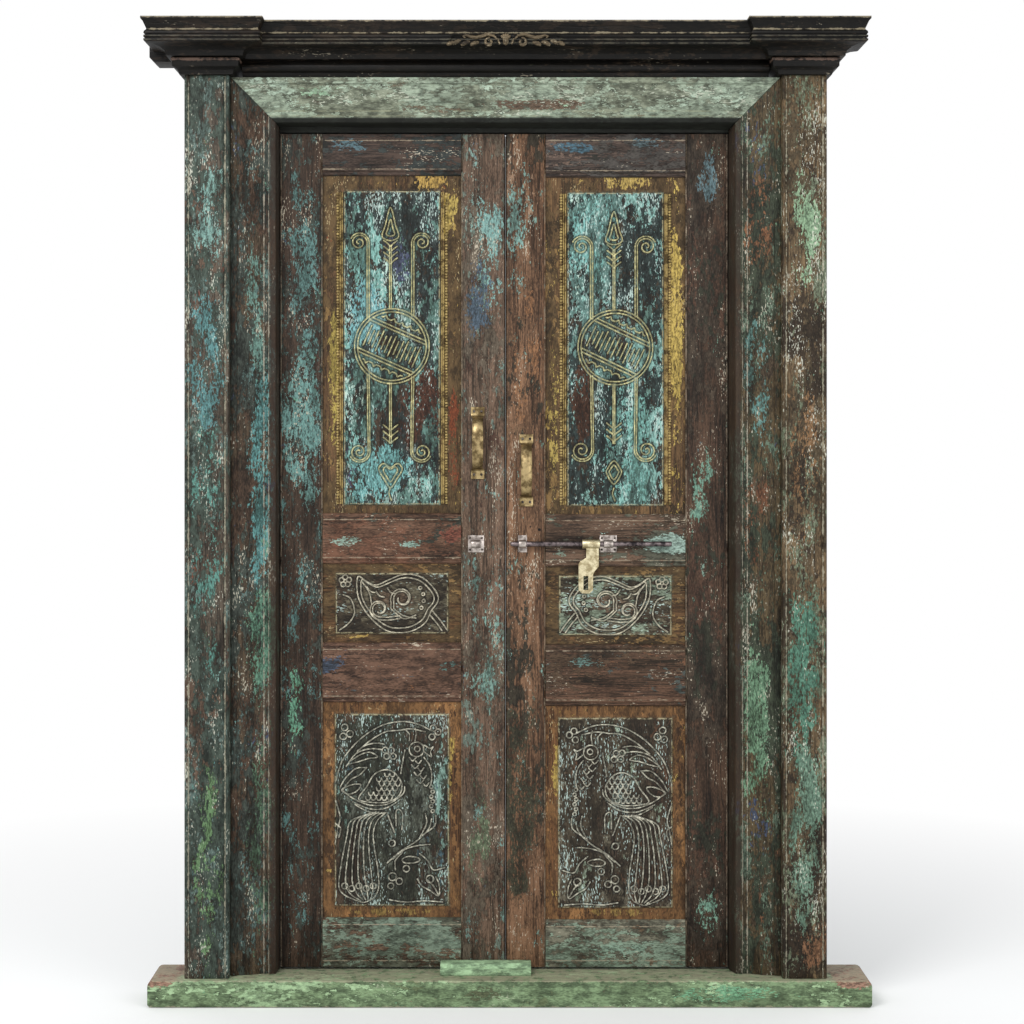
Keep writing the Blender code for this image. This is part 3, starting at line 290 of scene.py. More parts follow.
# A soft spot round a place.
place_of, given, gives = new_group("Spot", ("Mask",), Coords=(0, 0, 0), Centre=(0, 0, 0),
                                   Reach=(0.1, 0.1, 0.1), Amount=0.6)
offset = vectors(place_of, "SUBTRACT", given["Coords"], given["Centre"])
offset = vectors(place_of, "DIVIDE", offset, given["Reach"])
apart = place(place_of, "ShaderNodeVectorMath", {0: offset}, operation="LENGTH").outputs["Value"]
place_of.links.new(times(place_of, ramp(place_of, apart, 0.35, 1.35, 1, 0), given["Amount"]), gives["Mask"])

# Wear along two straight arrises, nicked by noise.
arris, given, gives = new_group("Worn arris", ("Mask",), Across=0.0, Low=0.0, High=1.0, Reach=0.003,
                                Coords=(0, 0, 0), Amount=0.7)
to_low, to_high = (sums(arris, "ABSOLUTE", minus(arris, given["Across"], given[end]))
                   for end in ("Low", "High"))
near = sums(arris, "DIVIDE", sums(arris, "MINIMUM", to_low, to_high), given["Reach"])
nicks = noise(arris, given["Coords"], 45, 4, 0.8)
rough_edge = plus(arris, near, times(arris, minus(arris, nicks, 0.46), 5.0))
arris.links.new(times(arris, ramp(arris, rough_edge, 0.35, 0.9, 1, 0), given["Amount"]), gives["Mask"])

# How much a pattern is drawn out, by the way the grain runs.
GRAIN = {"X": (0.05, 1, 1), "Z": (1, 1, 0.05)}
SPREAD = {"X": (0.46, 1, 1), "Z": (1, 1, 0.44)}
FLECK = {"X": (0.28, 1, 1), "Z": (1, 1, 0.28)}


def put(tree, group, **sockets):
    """Places a shader group. A socket's name is written with _ for a space."""
    node = place(tree, "ShaderNodeGroup", node_tree=group)
    for name, value in sockets.items():
        socket = node.inputs[name.replace("_", " ")]
        if isinstance(value, bpy.types.NodeSocket):
            tree.links.new(value, socket)
        else:
            socket.default_value = value
    return node.outputs


def painted(tree, along, seed, wood, coats, patches, flecks, dirt, cracks=0.6, deep=(0, 0.3)):
    """Timber under worn coats of paint, from the bottom up. A coat is (colour, share left, patch size).
    A patch is paint that is left in one place: (x, z, reach across, reach up, colour, amount), with the
    depth and reach of deep unless it gives its own. flecks is (amount, colour)."""
    coords = place(tree, "ShaderNodeTexCoord").outputs["Object"]
    shift = (seed * 1.7, seed * 0.9, seed * 2.3)
    base = put(tree, timber, Coords=coords, Along=GRAIN[along], Shift=shift, Dark=rgb(*wood[0]),
               Light=rgb(*wood[1]), Cracks=cracks)
    colour, height = base["Color"], base["Height"]
    for number, (tint, left, size) in enumerate(coats, start=1):
        layer = put(tree, coat, Coords=coords, Along=SPREAD[along], Shift=[s + 3.1 * number for s in shift],
                    Patch_Size=size, Left=left, Below=colour, Paint=rgb(*tint))
        colour = layer["Color"]
        if number == 1:
            height = plus(tree, height, times(tree, layer["Mask"], 0.3))
    for number, (x, z, wide, tall, tint, amount, *own) in enumerate(patches, start=1):
        y, far = own or deep
        spot = put(tree, place_of, Coords=coords, Centre=(x, y, z), Reach=(wide, far, tall), Amount=amount)
        colour = put(tree, coat, Coords=coords, Along=SPREAD[along], Shift=[s + 1.9 * number for s in shift],
                     Patch_Size=24, Left=spot["Mask"], Below=colour, Paint=rgb(*tint))["Color"]
    colour = put(tree, scrape, Coords=coords, Along=FLECK[along], Shift=shift, Amount=flecks[0], Dirt=dirt,
                 Below=colour, Bare=rgb(*flecks[1]))["Color"]
    return coords, colour, height


def bare_edges(tree, coords, colour, axis, low, high, reach, tint, amount):
    """Bare or pale wood along two straight arrises."""
    across = place(tree, "ShaderNodeSeparateXYZ", {0: coords}).outputs[axis]
    line = put(tree, arris, Across=across, Low=low, High=high, Reach=reach, Coords=coords, Amount=amount)
    return over(tree, line["Mask"], colour, rgb(*tint))


def painted_shade_beyond(tree, coords, colour, axis, start, stop, tint, strength):
    """Painted shade on the surfaces that lie between two places along an axis and beyond the second."""
    across = place(tree, "ShaderNodeSeparateXYZ", {0: coords}).outputs[axis]
    rises = stop > start
    share = ramp(tree, across, min(start, stop), max(start, stop), 0 if rises else 1, 1 if rises else 0)
    return over(tree, times(tree, share, strength), colour, rgb(*tint))


def finish_paint(tree, colour, height, rough=0.60, depth=0.0016):
    shader = tree.nodes["Principled BSDF"]
    shader.inputs["Specular IOR Level"].default_value = 0.22
    tree.links.new(colour, shader.inputs["Base Color"])
    tree.links.new(plus(tree, times(tree, height, 0.14), rough), shader.inputs["Roughness"])
    bump = place(tree, "ShaderNodeBump", {"Height": height, "Distance": depth, "Strength": 0.6})
    tree.links.new(bump.outputs[0], shader.inputs["Normal"])


def new_paint(name):
    material = bpy.data.materials.new(name)
    material.use_nodes = True
    return material, material.node_tree


def dress(name, label, ease, paint, beyond=(), edges=(), rough=0.60):
    """Puts an eased copy of a solid in its place, in worn paint with painted shade beyond a line and bare
    arrises.
    """
    material, tree = new_paint(label)
    coords, colour, height = painted(tree, *paint)
    if beyond:
        colour = painted_shade_beyond(tree, coords, colour, *beyond)
    for edge in edges:
        colour = bare_edges(tree, coords, colour, *edge)
    finish_paint(tree, colour, height, rough)
    return settle(eased(name, *ease), name, material)


bare_horns = [(side * 0.79, 0.066, 0.07, 0.03, (150, 118, 100), 0.95, 0.02, 0.2) for side in (-1, 1)]
dress("sill", "sage green sill paint", (0.002, 3),
      ("X", 1, ((64, 54, 44), (124, 104, 86)),
       [((120, 142, 106), 0.94, 6), ((148, 174, 134), 0.38, 8), ((96, 108, 78), 0.26, 10)],
       bare_horns + [(-0.06, 0.03, 0.10, 0.03, (82, 88, 64), 0.42, -0.074, 0.1),
                     (0.5, 0.03, 0.2, 0.03, (112, 158, 122), 0.5, -0.074, 0.1)],
       (0.26, (178, 186, 158)), 0.5),
      edges=[("Z", 0.0, 0.0595, 0.0035, (158, 152, 128), 0.6)])


# Stop block: a loose length of batten nailed on the sill in front of the leaves, painted a paler
# green than the sill, with a low step along its front.
dress("sill_stop_block", "pale green batten paint", (0.0015,),
      ("X", 2, ((92, 96, 78), (142, 150, 124)), [((156, 186, 146), 0.94, 8), ((134, 158, 120), 0.32, 14)], (),
       (0.25, (200, 212, 182)), 0.25))


# Architrave: two jambs and a head with one moulded, splayed face, mitred at the corners and worn to
# pale wood along the inner arris. The head is sage green, the jambs slate and brown with turquoise.
REVEAL = 0.0165
JAMB_ARRIS, HEAD_ARRIS = 0.5235 + REVEAL, 1.9995 + REVEAL
FILLET = 0.011
jamb_looks = {
    "left_architrave_jamb": (3, ((34, 28, 20), (84, 70, 54)),
        [((58, 64, 58), 0.5, 7), ((70, 54, 42), 0.38, 9), ((78, 98, 94), 0.31, 22),
         ((60, 68, 88), 0.22, 12)],
        [(-0.555, 1.17, 0.045, 0.36, (88, 134, 132), 0.52),
         (-0.55, 0.84, 0.045, 0.28, (88, 124, 104), 0.48), (-0.565, 1.6, 0.05, 0.28, (94, 124, 114), 0.42),
         (-0.56, 0.35, 0.05, 0.34, (76, 100, 80), 0.45)]),
    "right_architrave_jamb": (4, ((32, 28, 18), (88, 74, 52)),
        [((54, 60, 47), 0.5, 7), ((72, 60, 46), 0.34, 9), ((88, 104, 88), 0.33, 22),
         ((58, 66, 84), 0.22, 12)],
        [(0.575, 1.78, 0.045, 0.16, (112, 78, 54), 0.5), (0.57, 1.1, 0.05, 0.16, (98, 66, 46), 0.46),
         (0.57, 0.62, 0.045, 0.32, (98, 128, 102), 0.5), (0.575, 1.42, 0.045, 0.26, (88, 122, 116), 0.44)]),
}
for name, looks in jamb_looks.items():
    side = -1 if name.startswith("left") else 1
    # Painted shade: each jamb's reveal, inward of its inner arris, is darkened to a dark brown.
    dress(name, name.replace("_", " ") + " paint", (0.0012,), ("Z", *looks, (0.30, (184, 180, 162)), 0.84),
          ("X", side * (JAMB_ARRIS - 0.002), side * (JAMB_ARRIS - 0.006), (46, 34, 26), 0.75),
          [("X", side * (JAMB_ARRIS + FILLET), side * JAMB_ARRIS, 0.0018, (156, 148, 132), 0.75)])
# Painted shadow: the head's soffit over the opening is darkened nearly to black.
dress("head_architrave", "sage green head paint", (0.0012,),
      ("X", 5, ((64, 52, 42), (118, 98, 82)),
       [((122, 128, 110), 0.92, 6), ((136, 148, 130), 0.50, 9), ((152, 168, 150), 0.30, 12),
        ((100, 94, 78), 0.26, 9)],
       [(0.07, 2.042, 0.19, 0.016, (98, 82, 68), 0.54), (-0.16, 2.030, 0.10, 0.014, (100, 88, 72), 0.5),
        (-0.40, 2.07, 0.10, 0.02, (140, 168, 140), 0.5)], (0.34, (186, 190, 172)), 0.45),
      ("Z", HEAD_ARRIS - 0.001, HEAD_ARRIS - 0.007, (9, 9, 6), 0.97),
      [("Z", HEAD_ARRIS + FILLET, HEAD_ARRIS, 0.0016, (150, 150, 120), 0.4)])


# Pilasters: thick planks planted against the jambs, with a bead run down both edges, from the sill up
# to the necking caps. The left one is slate and turquoise, the right one brown with light green.
pilaster_looks = {
    "left_pilaster": (6, ((40, 34, 28), (92, 82, 70)),
        [((62, 72, 64), 0.55, 6), ((84, 68, 56), 0.3, 8), ((84, 100, 94), 0.36, 20),
         ((132, 144, 136), 0.17, 16)],
        [(-0.675, 1.78, 0.06, 0.2, (110, 142, 134), 0.46), (-0.69, 1.64, 0.05, 0.12, (100, 62, 50), 0.38),
         (-0.68, 1.44, 0.06, 0.26, (84, 124, 124), 0.48), (-0.67, 1.05, 0.06, 0.34, (82, 124, 114), 0.44),
         (-0.69, 0.96, 0.04, 0.1, (104, 64, 48), 0.4), (-0.67, 0.35, 0.05, 0.35, (92, 120, 84), 0.42)]),
    "right_pilaster": (7, ((40, 32, 20), (116, 96, 70)),
        [((76, 65, 48), 0.5, 6), ((50, 40, 29), 0.44, 8), ((98, 106, 86), 0.36, 18),
         ((120, 132, 112), 0.17, 16)],
        [(0.68, 1.76, 0.05, 0.2, (126, 152, 122), 0.46), (0.67, 1.25, 0.06, 0.28, (118, 90, 62), 0.44),
         (0.67, 0.76, 0.06, 0.34, (78, 116, 98), 0.46), (0.68, 0.4, 0.06, 0.3, (100, 126, 108), 0.54),
         (0.7, 0.14, 0.05, 0.1, (118, 86, 62), 0.44)]),
}
BEAD = 0.009
for name, looks in pilaster_looks.items():
    low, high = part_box(name)
    dress(name, name.replace("_", " ") + " paint", (0.001,), ("Z", *looks, (0.34, (196, 196, 180)), 0.7),
          edges=[("X", low[0] + BEAD, high[0] - BEAD, 0.0022, (186, 180, 158), 0.6)])


# Necking caps, head beam and cornice: dark brown moulded boards. The cornice breaks forward over the
# pilasters, its crown board is worn brown, and a green-black fillet runs under it.
crown_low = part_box("cornice")[1][2] - 0.027
for name in ("left_necking_cap", "right_necking_cap", "head_beam", "cornice"):
    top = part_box(name)[1][2]
    cap_edge = ("Z", top - 0.004, top - 0.007, 0.003, (112, 90, 78), 0.6)
    edges = {"cornice": [("Z", crown_low, top - 0.0015, 0.0026, (132, 122, 100), 0.8),
                         ("Z", crown_low - 0.024, crown_low - 0.0155, 0.0022, (92, 88, 72), 0.4)],
             "head_beam": []}.get(name, [cap_edge])
    dress(name, name.replace("_", " ") + " paint", (0.0008,),
          ("X", 8 + len(name), ((8, 6, 3), (38, 29, 21)),
           [((14, 11, 7), 0.6, 7), ((38, 30, 22), 0.36, 9), ((38, 38, 28), 0.12, 8)], (),
           (0.16, (128, 120, 104)), 0.7), edges=edges, rough=0.5)


# Cornice scroll: a mirrored spray carved in the middle of the cornice's upper moulding, of dark wood
# rubbed pale. A shell stands in the middle, with an arched stem, a curl and four leaves on each side.
SCROLL_MIDDLE, SCROLL_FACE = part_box("cornice")[1][2] - 0.0445, -0.0918
CURL_STEPS = 48


def curl(centre, start_radius, end_radius, start, sweep, hand=1):
    """A spiral that winds inwards, angles in degrees, mirrored where hand is -1."""
    path = []
    for i in range(CURL_STEPS + 1):
        turn = math.radians(start + sweep * i / CURL_STEPS)
        radius = start_radius + (end_radius - start_radius) * i / CURL_STEPS
        path.append((centre[0] + hand * radius * math.cos(turn), centre[1] + radius * math.sin(turn)))
    return path


wire = bpy.data.curves.new("cornice_scroll", "CURVE")
wire.dimensions = "3D"
wire.bevel_depth = 0.0043
wire.bevel_resolution = 3
wire.use_fill_caps = True
arch = [(0.013, -0.009), (0.018, 0.001), (0.027, 0.0105), (0.041, 0.0130), (0.054, 0.0090), (0.066, 0.0055),
        (0.078, 0.0075), (0.088, 0.0115), (0.095, 0.0085), (0.091, 0.0045)]
leaves = ((0.060, -0.005, 0.019, -0.007), (0.080, -0.004, 0.020, -0.008), (0.100, -0.001, 0.018, -0.009),
          (0.114, -0.005, 0.018, -0.006))
strokes = []
for side in (-1, 1):
    strokes.append(([(side * x, SCROLL_MIDDLE + z) for x, z in arch], 1.0))
    strokes.append((curl((side * 0.037, SCROLL_MIDDLE - 0.0045), 0.0100, 0.0026, 100, -400, side), 0.85))
    for x, z, reach, drop in leaves:
        strokes.append(([(side * (x + reach * t), SCROLL_MIDDLE + z + drop * t * t)
                         for t in (0, 0.3, 0.6, 0.85, 1)], 1.15))
strokes.append(([(0.001 * k, SCROLL_MIDDLE - 0.003) for k in range(-6, 7, 2)], 2.1))
for turn in (-50, -25, 0, 25, 50):
    lean = math.radians(turn)
    strokes.append(([(r * math.sin(lean), SCROLL_MIDDLE + 0.001 + r * math.cos(lean))
                     for r in (0.003, 0.007, 0.011, 0.014)], 0.8))
for path, girth in strokes:
    spline = wire.splines.new("POLY")
    spline.points.add(len(path) - 1)
    for number, (point, (x, z)) in enumerate(zip(spline.points, path)):
        point.co = (x, SCROLL_FACE, z, 1)
        point.radius = girth * (0.45 + 0.55 * math.sin(math.pi * number / (len(path) - 1)))
scroll = bpy.data.objects.new("cornice_scroll", wire)
bpy.context.scene.collection.objects.link(scroll)
pick(scroll)
bpy.ops.object.convert(target="MESH")
scroll = bpy.context.object
bpy.ops.object.shade_smooth()
material, tree = new_paint("rubbed scroll wood")
coords, colour, height = painted(tree, "X", 19, ((46, 38, 28), (108, 94, 72)),
                                 [((88, 76, 58), 0.5, 12), ((38, 31, 22), 0.30, 14)],
                                 (), (0.36, (156, 144, 120)), 0.35)
finish_paint(tree, colour, height)
scroll.data.materials.append(material)
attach(scroll, "frame")


# Leaves: each is two stiles and four rails of 46 mm timber, tenoned together, with a small moulding
# round every panel. Chocolate brown wood shows through turquoise, slate and green coats.
# The back edges of the meeting stiles, beyond SEAM_DEPTH, come together to SEAM_CRACK, so that the seam
# between the leaves is dark.
STILE_BEAD, RAIL_BEAD = 0.0015, 0.0148
SEAM_REACH, SEAM_DEPTH, SEAM_CRACK = 0.0022, 0.060, 0.0001
leaf_looks = {
    "left_outer_stile": ("Z", 20, ((30, 22, 16), (72, 56, 44)),
        [((54, 58, 52), 0.46, 7), ((66, 50, 42), 0.3, 9), ((78, 108, 104), 0.34, 24),
         ((58, 76, 96), 0.18, 12)],
        [(-0.46, 1.62, 0.06, 0.28, (86, 118, 114), 0.46), (-0.47, 1.32, 0.07, 0.26, (94, 128, 122), 0.5),
         (-0.48, 0.66, 0.03, 0.14, (96, 140, 116), 0.5)]),
    "left_meeting_stile": ("Z", 21, ((48, 38, 28), (112, 90, 74)),
        [((86, 76, 64), 0.42, 7), ((92, 102, 92), 0.34, 8), ((68, 48, 38), 0.3, 9),
         ((106, 132, 124), 0.27, 22)],
        [(-0.035, 1.74, 0.05, 0.2, (112, 146, 140), 0.48), (-0.06, 1.6, 0.05, 0.14, (72, 86, 98), 0.44),
         (-0.04, 0.8, 0.06, 0.2, (108, 136, 126), 0.46), (-0.06, 0.35, 0.04, 0.2, (88, 98, 76), 0.42)]),
    "right_meeting_stile": ("Z", 22, ((50, 34, 22), (128, 96, 72)),
        [((102, 78, 58), 0.42, 6), ((50, 44, 34), 0.4, 8), ((122, 98, 78), 0.26, 8),
         ((108, 134, 124), 0.24, 22)],
        [(0.03, 1.76, 0.05, 0.18, (110, 142, 134), 0.46), (0.05, 1.44, 0.05, 0.24, (126, 90, 62), 0.44),
         (0.0776, 1.0709, 0.0034, 0.0034, (14, 10, 8), 1.4, 0.026, 0.05),
         (0.03, 0.45, 0.06, 0.36, (60, 58, 44), 0.56)]),
    "right_outer_stile": ("Z", 23, ((28, 20, 12), (80, 60, 46)),
        [((62, 52, 42), 0.46, 7), ((72, 52, 40), 0.36, 9), ((44, 44, 34), 0.34, 8),
         ((98, 118, 106), 0.12, 10)],
        [(0.46, 1.88, 0.04, 0.08, (84, 104, 108), 0.5), (0.45, 1.16, 0.04, 0.14, (96, 128, 112), 0.42),
         (0.46, 0.16, 0.04, 0.12, (108, 142, 124), 0.5)]),
    "left_top_rail": ("X", 24, ((24, 19, 16), (74, 60, 52)),
        [((48, 52, 50), 0.46, 7), ((66, 52, 44), 0.34, 9), ((24, 24, 20), 0.34, 8)],
        [(-0.36, 1.955, 0.07, 0.03, (74, 96, 102), 0.5)]),
    "left_lock_rail": ("X", 25, ((48, 34, 24), (116, 86, 68)),
        [((100, 70, 54), 0.46, 6), ((58, 60, 52), 0.36, 8), ((132, 150, 134), 0.12, 12)],
        [(-0.37, 1.045, 0.06, 0.02, (138, 160, 146), 0.58),
         (-0.22, 1.035, 0.05, 0.016, (128, 152, 140), 0.5), (-0.12, 1.06, 0.05, 0.03, (116, 70, 56), 0.44)]),
    "left_lower_rail": ("X", 26, ((46, 32, 24), (110, 82, 66)),
        [((94, 70, 56), 0.5, 6), ((66, 70, 70), 0.28, 8), ((112, 86, 68), 0.26, 9)],
        [(-0.41, 0.765, 0.06, 0.03, (72, 82, 98), 0.54), (-0.19, 0.775, 0.06, 0.018, (132, 90, 60), 0.44),
         (-0.12, 0.755, 0.05, 0.02, (82, 110, 104), 0.46)]),
    "left_bottom_rail": ("X", 27, ((48, 38, 28), (112, 92, 74)),
        [((84, 86, 72), 0.5, 7), ((108, 122, 106), 0.46, 8), ((94, 72, 54), 0.3, 8),
         ((130, 154, 134), 0.22, 11)],
        []),
    "right_top_rail": ("X", 28, ((28, 23, 20), (84, 70, 62)),
        [((66, 62, 58), 0.46, 7), ((36, 35, 30), 0.34, 8), ((92, 76, 66), 0.26, 9)],
        [(0.16, 1.95, 0.07, 0.02, (66, 92, 104), 0.56), (0.33, 1.96, 0.06, 0.02, (84, 100, 104), 0.5)]),
    "right_lock_rail": ("X", 29, ((40, 30, 22), (104, 82, 66)),
        [((80, 80, 68), 0.42, 7), ((62, 50, 38), 0.3, 8), ((104, 118, 104), 0.3, 9)],
        [(0.37, 1.04, 0.07, 0.03, (142, 164, 152), 0.6)]),
    "right_lower_rail": ("X", 30, ((36, 28, 18), (98, 72, 56)),
        [((74, 58, 44), 0.5, 7), ((62, 68, 64), 0.26, 8), ((94, 66, 48), 0.3, 8)],
        [(0.19, 0.765, 0.08, 0.02, (104, 132, 126), 0.46)]),
    "right_bottom_rail": ("X", 31, ((52, 44, 34), (118, 104, 84)),
        [((112, 110, 94), 0.6, 7), ((120, 136, 118), 0.52, 8), ((94, 78, 60), 0.24, 8)],
        [(0.25, 0.1, 0.14, 0.03, (126, 148, 130), 0.52)]),
}
for name, (along, seed, wood, coats, patches) in leaf_looks.items():
    low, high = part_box(name)
    bare = 0.10 if name.endswith("top_rail") else 0.24 if along == "X" else 0.30
    edge = (("X", low[0] + STILE_BEAD, high[0] - STILE_BEAD, 0.0018, (148, 132, 112), 0.55) if along == "Z"
            else ("Z", low[2] + RAIL_BEAD, high[2] - RAIL_BEAD, 0.0016, (158, 144, 122), 0.6))
    piece = dress(name, name.replace("_", " ") + " paint", (0.0009,),
                  (along, seed, wood, coats, patches, (bare, (184, 174, 154)), 0.75, 0.6, (0, 0.2)),
                  edges=[edge])
    if name.endswith("meeting_stile"):
        for vertex in piece.data.vertices:
            if abs(vertex.co.x) < SEAM_REACH and vertex.co.y > SEAM_DEPTH:
                vertex.co.x = math.copysign(SEAM_CRACK, vertex.co.x)


# Carved panels: boards held in the grooves of the stiles and rails. Each has a sunk margin round a
# raised field, and the carving stands on the field as fine ridges between cut grooves.
BOARD_FACE, BOARD_THICK = 0.036, 0.0205
TONGUE = 0.008
LINE_HALF, LINE_RISE = 0.0016, 0.0026
GROOVE_AT, GROOVE_WIDE, GROOVE_DEEP = 0.0029, 0.0012, 0.0012
FIELD_RISE = 0.0045
# The strips beside the long panels' fields, outwards from the field: two reeds and a row of pearls.
PEARL_STRIP = 0.018
REEDS_AT, REED_HALF, REED_RISE = (0.0032, 0.0074), 0.0017, 0.0036
PEARLS_AT, PEARL_WIDE, PEARL_TALL, PEARL_RISE, PEARL_PITCH = 0.0135, 0.0036, 0.0034, 0.0042, 0.0066


def smooth_line(anchors, steps, closed=False):
    """A curve through a few anchors."""
    count = len(anchors)
    path = []
    for i in range(count if closed else count - 1):
        if closed:
            a, b, c, d = (anchors[(i + k - 1) % count] for k in range(4))
        else:
            a, b, c, d = (anchors[min(max(i + k - 1, 0), count - 1)] for k in range(4))
        for s in range(steps):
            t = s / steps
            path.append(tuple(b[k] + 0.5 * ((c[k] - a[k]) * t
                                            + (2 * a[k] - 5 * b[k] + 4 * c[k] - d[k]) * t ** 2
                                            + (3 * b[k] - a[k] - 3 * c[k] + d[k]) * t ** 3) for k in (0, 1)))
    return path if closed else path + [anchors[-1]]


def drawn(*paths, steps=5, closed=False):
    """Smooth carved lines through lists of anchors."""
    return [(smooth_line(anchors, steps, closed), closed) for anchors in paths]


def ring(x, z, radius, steps):
    """A carved ring."""
    turns = [2 * math.pi * i / steps for i in range(steps)]
    return [(x + radius * math.cos(turn), z + radius * math.sin(turn)) for turn in turns], True


def nearest_line(xs, zs, lines, reach):
    """How far each point of the board's grid is from the nearest carved line, up to the reach."""
    apart = np.full((len(zs), len(xs)), reach)
    for path, closed in lines:
        ends = path[1:] + path[:1] if closed else path[1:]
        for (x0, z0), (x1, z1) in zip(path, ends):
            i0, i1 = np.searchsorted(xs, (min(x0, x1) - reach, max(x0, x1) + reach))
            j0, j1 = np.searchsorted(zs, (min(z0, z1) - reach, max(z0, z1) + reach))
            x, z = np.meshgrid(xs[i0:i1], zs[j0:j1])
            run = (x1 - x0) ** 2 + (z1 - z0) ** 2 + 1e-12
            t = np.clip(((x - x0) * (x1 - x0) + (z - z0) * (z1 - z0)) / run, 0, 1)
            window = apart[j0:j1, i0:i1]
            np.minimum(window, np.hypot(x - x0 - t * (x1 - x0), z - z0 - t * (z1 - z0)), out=window)
    return apart


def carved_board(name, xs, zs, heights, marks):
    """A board whose front follows the heights over its grid, closed at the sides and the back."""
    bpy.ops.object.select_all(action="DESELECT")
    bpy.ops.mesh.primitive_grid_add(x_subdivisions=len(xs) - 1, y_subdivisions=len(zs) - 1, size=2)
    board = bpy.context.object
    board.name = board.data.name = "carved_" + name
    flat = np.empty(len(board.data.vertices) * 3)
    board.data.vertices.foreach_get("co", flat)
    flat = flat.reshape(-1, 3)
    i = np.rint((flat[:, 0] + 1) / 2 * (len(xs) - 1)).astype(int)
    j = np.rint((flat[:, 1] + 1) / 2 * (len(zs) - 1)).astype(int)
    points = np.stack([xs[i], BOARD_FACE - heights[j, i], zs[j]], axis=1)
    board.data.vertices.foreach_set("co", points.ravel())
    for label, values in marks.items():
        layer = board.data.attributes.new(label, "FLOAT", "POINT")
        layer.data.foreach_set("value", values[j, i].astype(np.float32))
    board.data.update()
    bpy.ops.object.mode_set(mode="EDIT")
    bpy.ops.mesh.select_mode(type="EDGE")
    bpy.ops.mesh.select_all(action="DESELECT")
    bpy.ops.mesh.select_non_manifold()
    bpy.ops.mesh.extrude_region_move(TRANSFORM_OT_translate={"value": (0, BOARD_THICK, 0)})
    bpy.ops.mesh.edge_face_add()
    bpy.ops.object.mode_set(mode="OBJECT")
    bpy.ops.object.shade_smooth_by_angle(angle=math.radians(50))
    return board


def medallion_lines(tilt):
    """A double ring crossed by a tilted band of shallow strokes, in hundredths of the field's width."""
    lean = math.radians(tilt)
    along = np.array((math.cos(lean), -math.sin(lean)))
    across = np.array((math.sin(lean), math.cos(lean)))
    lines = [ring(0, 0, 38.6, 64), ring(0, 0, 35.4, 64)]
    for offset in (19, 15.6, -15.6, -19):
        reach = math.sqrt(35 ** 2 - offset ** 2)
        lines.append(([tuple(along * way * reach + across * offset) for way in (-1, 1)], False))
    for step in range(-6, 7):
        tall = (11, 7, 9)[step % 3]
        lines.append(([tuple(along * 4.6 * step + across * way * tall) for way in (-1, 1)], False))
    for step in range(-2, 3):
        bend = [(along * (9 * step + u) + across * (25 + 1.6 * math.cos(u))) for u in (-4, -2, 0, 2, 4)]
        lines += drawn([tuple(p) for p in bend], [tuple(-p) for p in bend], steps=3)
    return lines


def long_panel_lines(tilt, upper, lower, radius, heart):
    """Medallion, long stems ending in curls, a bud above and a heart or a spade below."""
    middle = -1.5
    lines = medallion_lines(tilt)
    for x, hand in ((-25.5, -1), (22.5, 1)):
        stem, beside = math.sqrt(38.6 ** 2 - x ** 2), x - 2.0 * hand
        top, low = (x + hand * radius, upper), (x + hand * radius, -upper - 2)
        lines += [([(x, stem)] + curl(top, radius, 1.2, 180, -620, hand), False),
                  ([(x, -stem)] + curl(low, radius + 1, 1.4, 180, 660, hand), False),
                  ([(beside, stem)] + curl(top, radius + 2.0, radius + 0.6, 180, -150, hand), False),
                  ([(beside, -stem)] + curl(low, radius + 3.0, radius + 1.4, 180, 150, hand), False)]
    for x in (middle - 0.9, middle + 0.9):
        lines += [([(x, 38), (x, upper - 3)], False), ([(x, -38), (x, -lower + 22)], False)]
    tip, base = upper + 36, upper + 3
    bud = [(-1.5, tip), (-7, base + 14), (-10, base + 3), (-1.5, base - 1), (7, base + 3), (4, base + 14)]
    small = [(middle + 0.5 * (x - middle), base + 8 + 0.5 * (z - base - 8)) for x, z in bud]
    lines += drawn(bud, small, steps=6, closed=True)
    for side in (-1, 1):
        for z in (upper - 4, upper - 10, upper - 16, upper - 22):
            lines += drawn([(middle + side * 7, z + 6), (middle + side * 3, z + 3), (middle, z)], steps=3)
        for z in (20 - upper, 13.5 - upper, 7 - upper):
            lines.append(([(middle + side * 7.5, z + 6), (middle, z)], False))
    shape = ([(-1.5, -3), (-9, 1), (-13.5, -5), (-8, -15), (-1.5, -24), (5, -15), (10.5, -5), (6, 1)] if heart
             else [(-1.5, 4), (-8, -4), (-9, -9), (-1.5, -20), (6, -9), (5, -4)])
    lines += drawn([(x, z - lower) for x, z in shape],
                   [(x * 0.62 - 0.6, z * 0.62 - 3 - lower) for x, z in shape], steps=6, closed=True)
    return lines + drawn([(-1.5, -lower - 24), (-3, -lower - 30), (-0.5, -lower - 37)], steps=4)


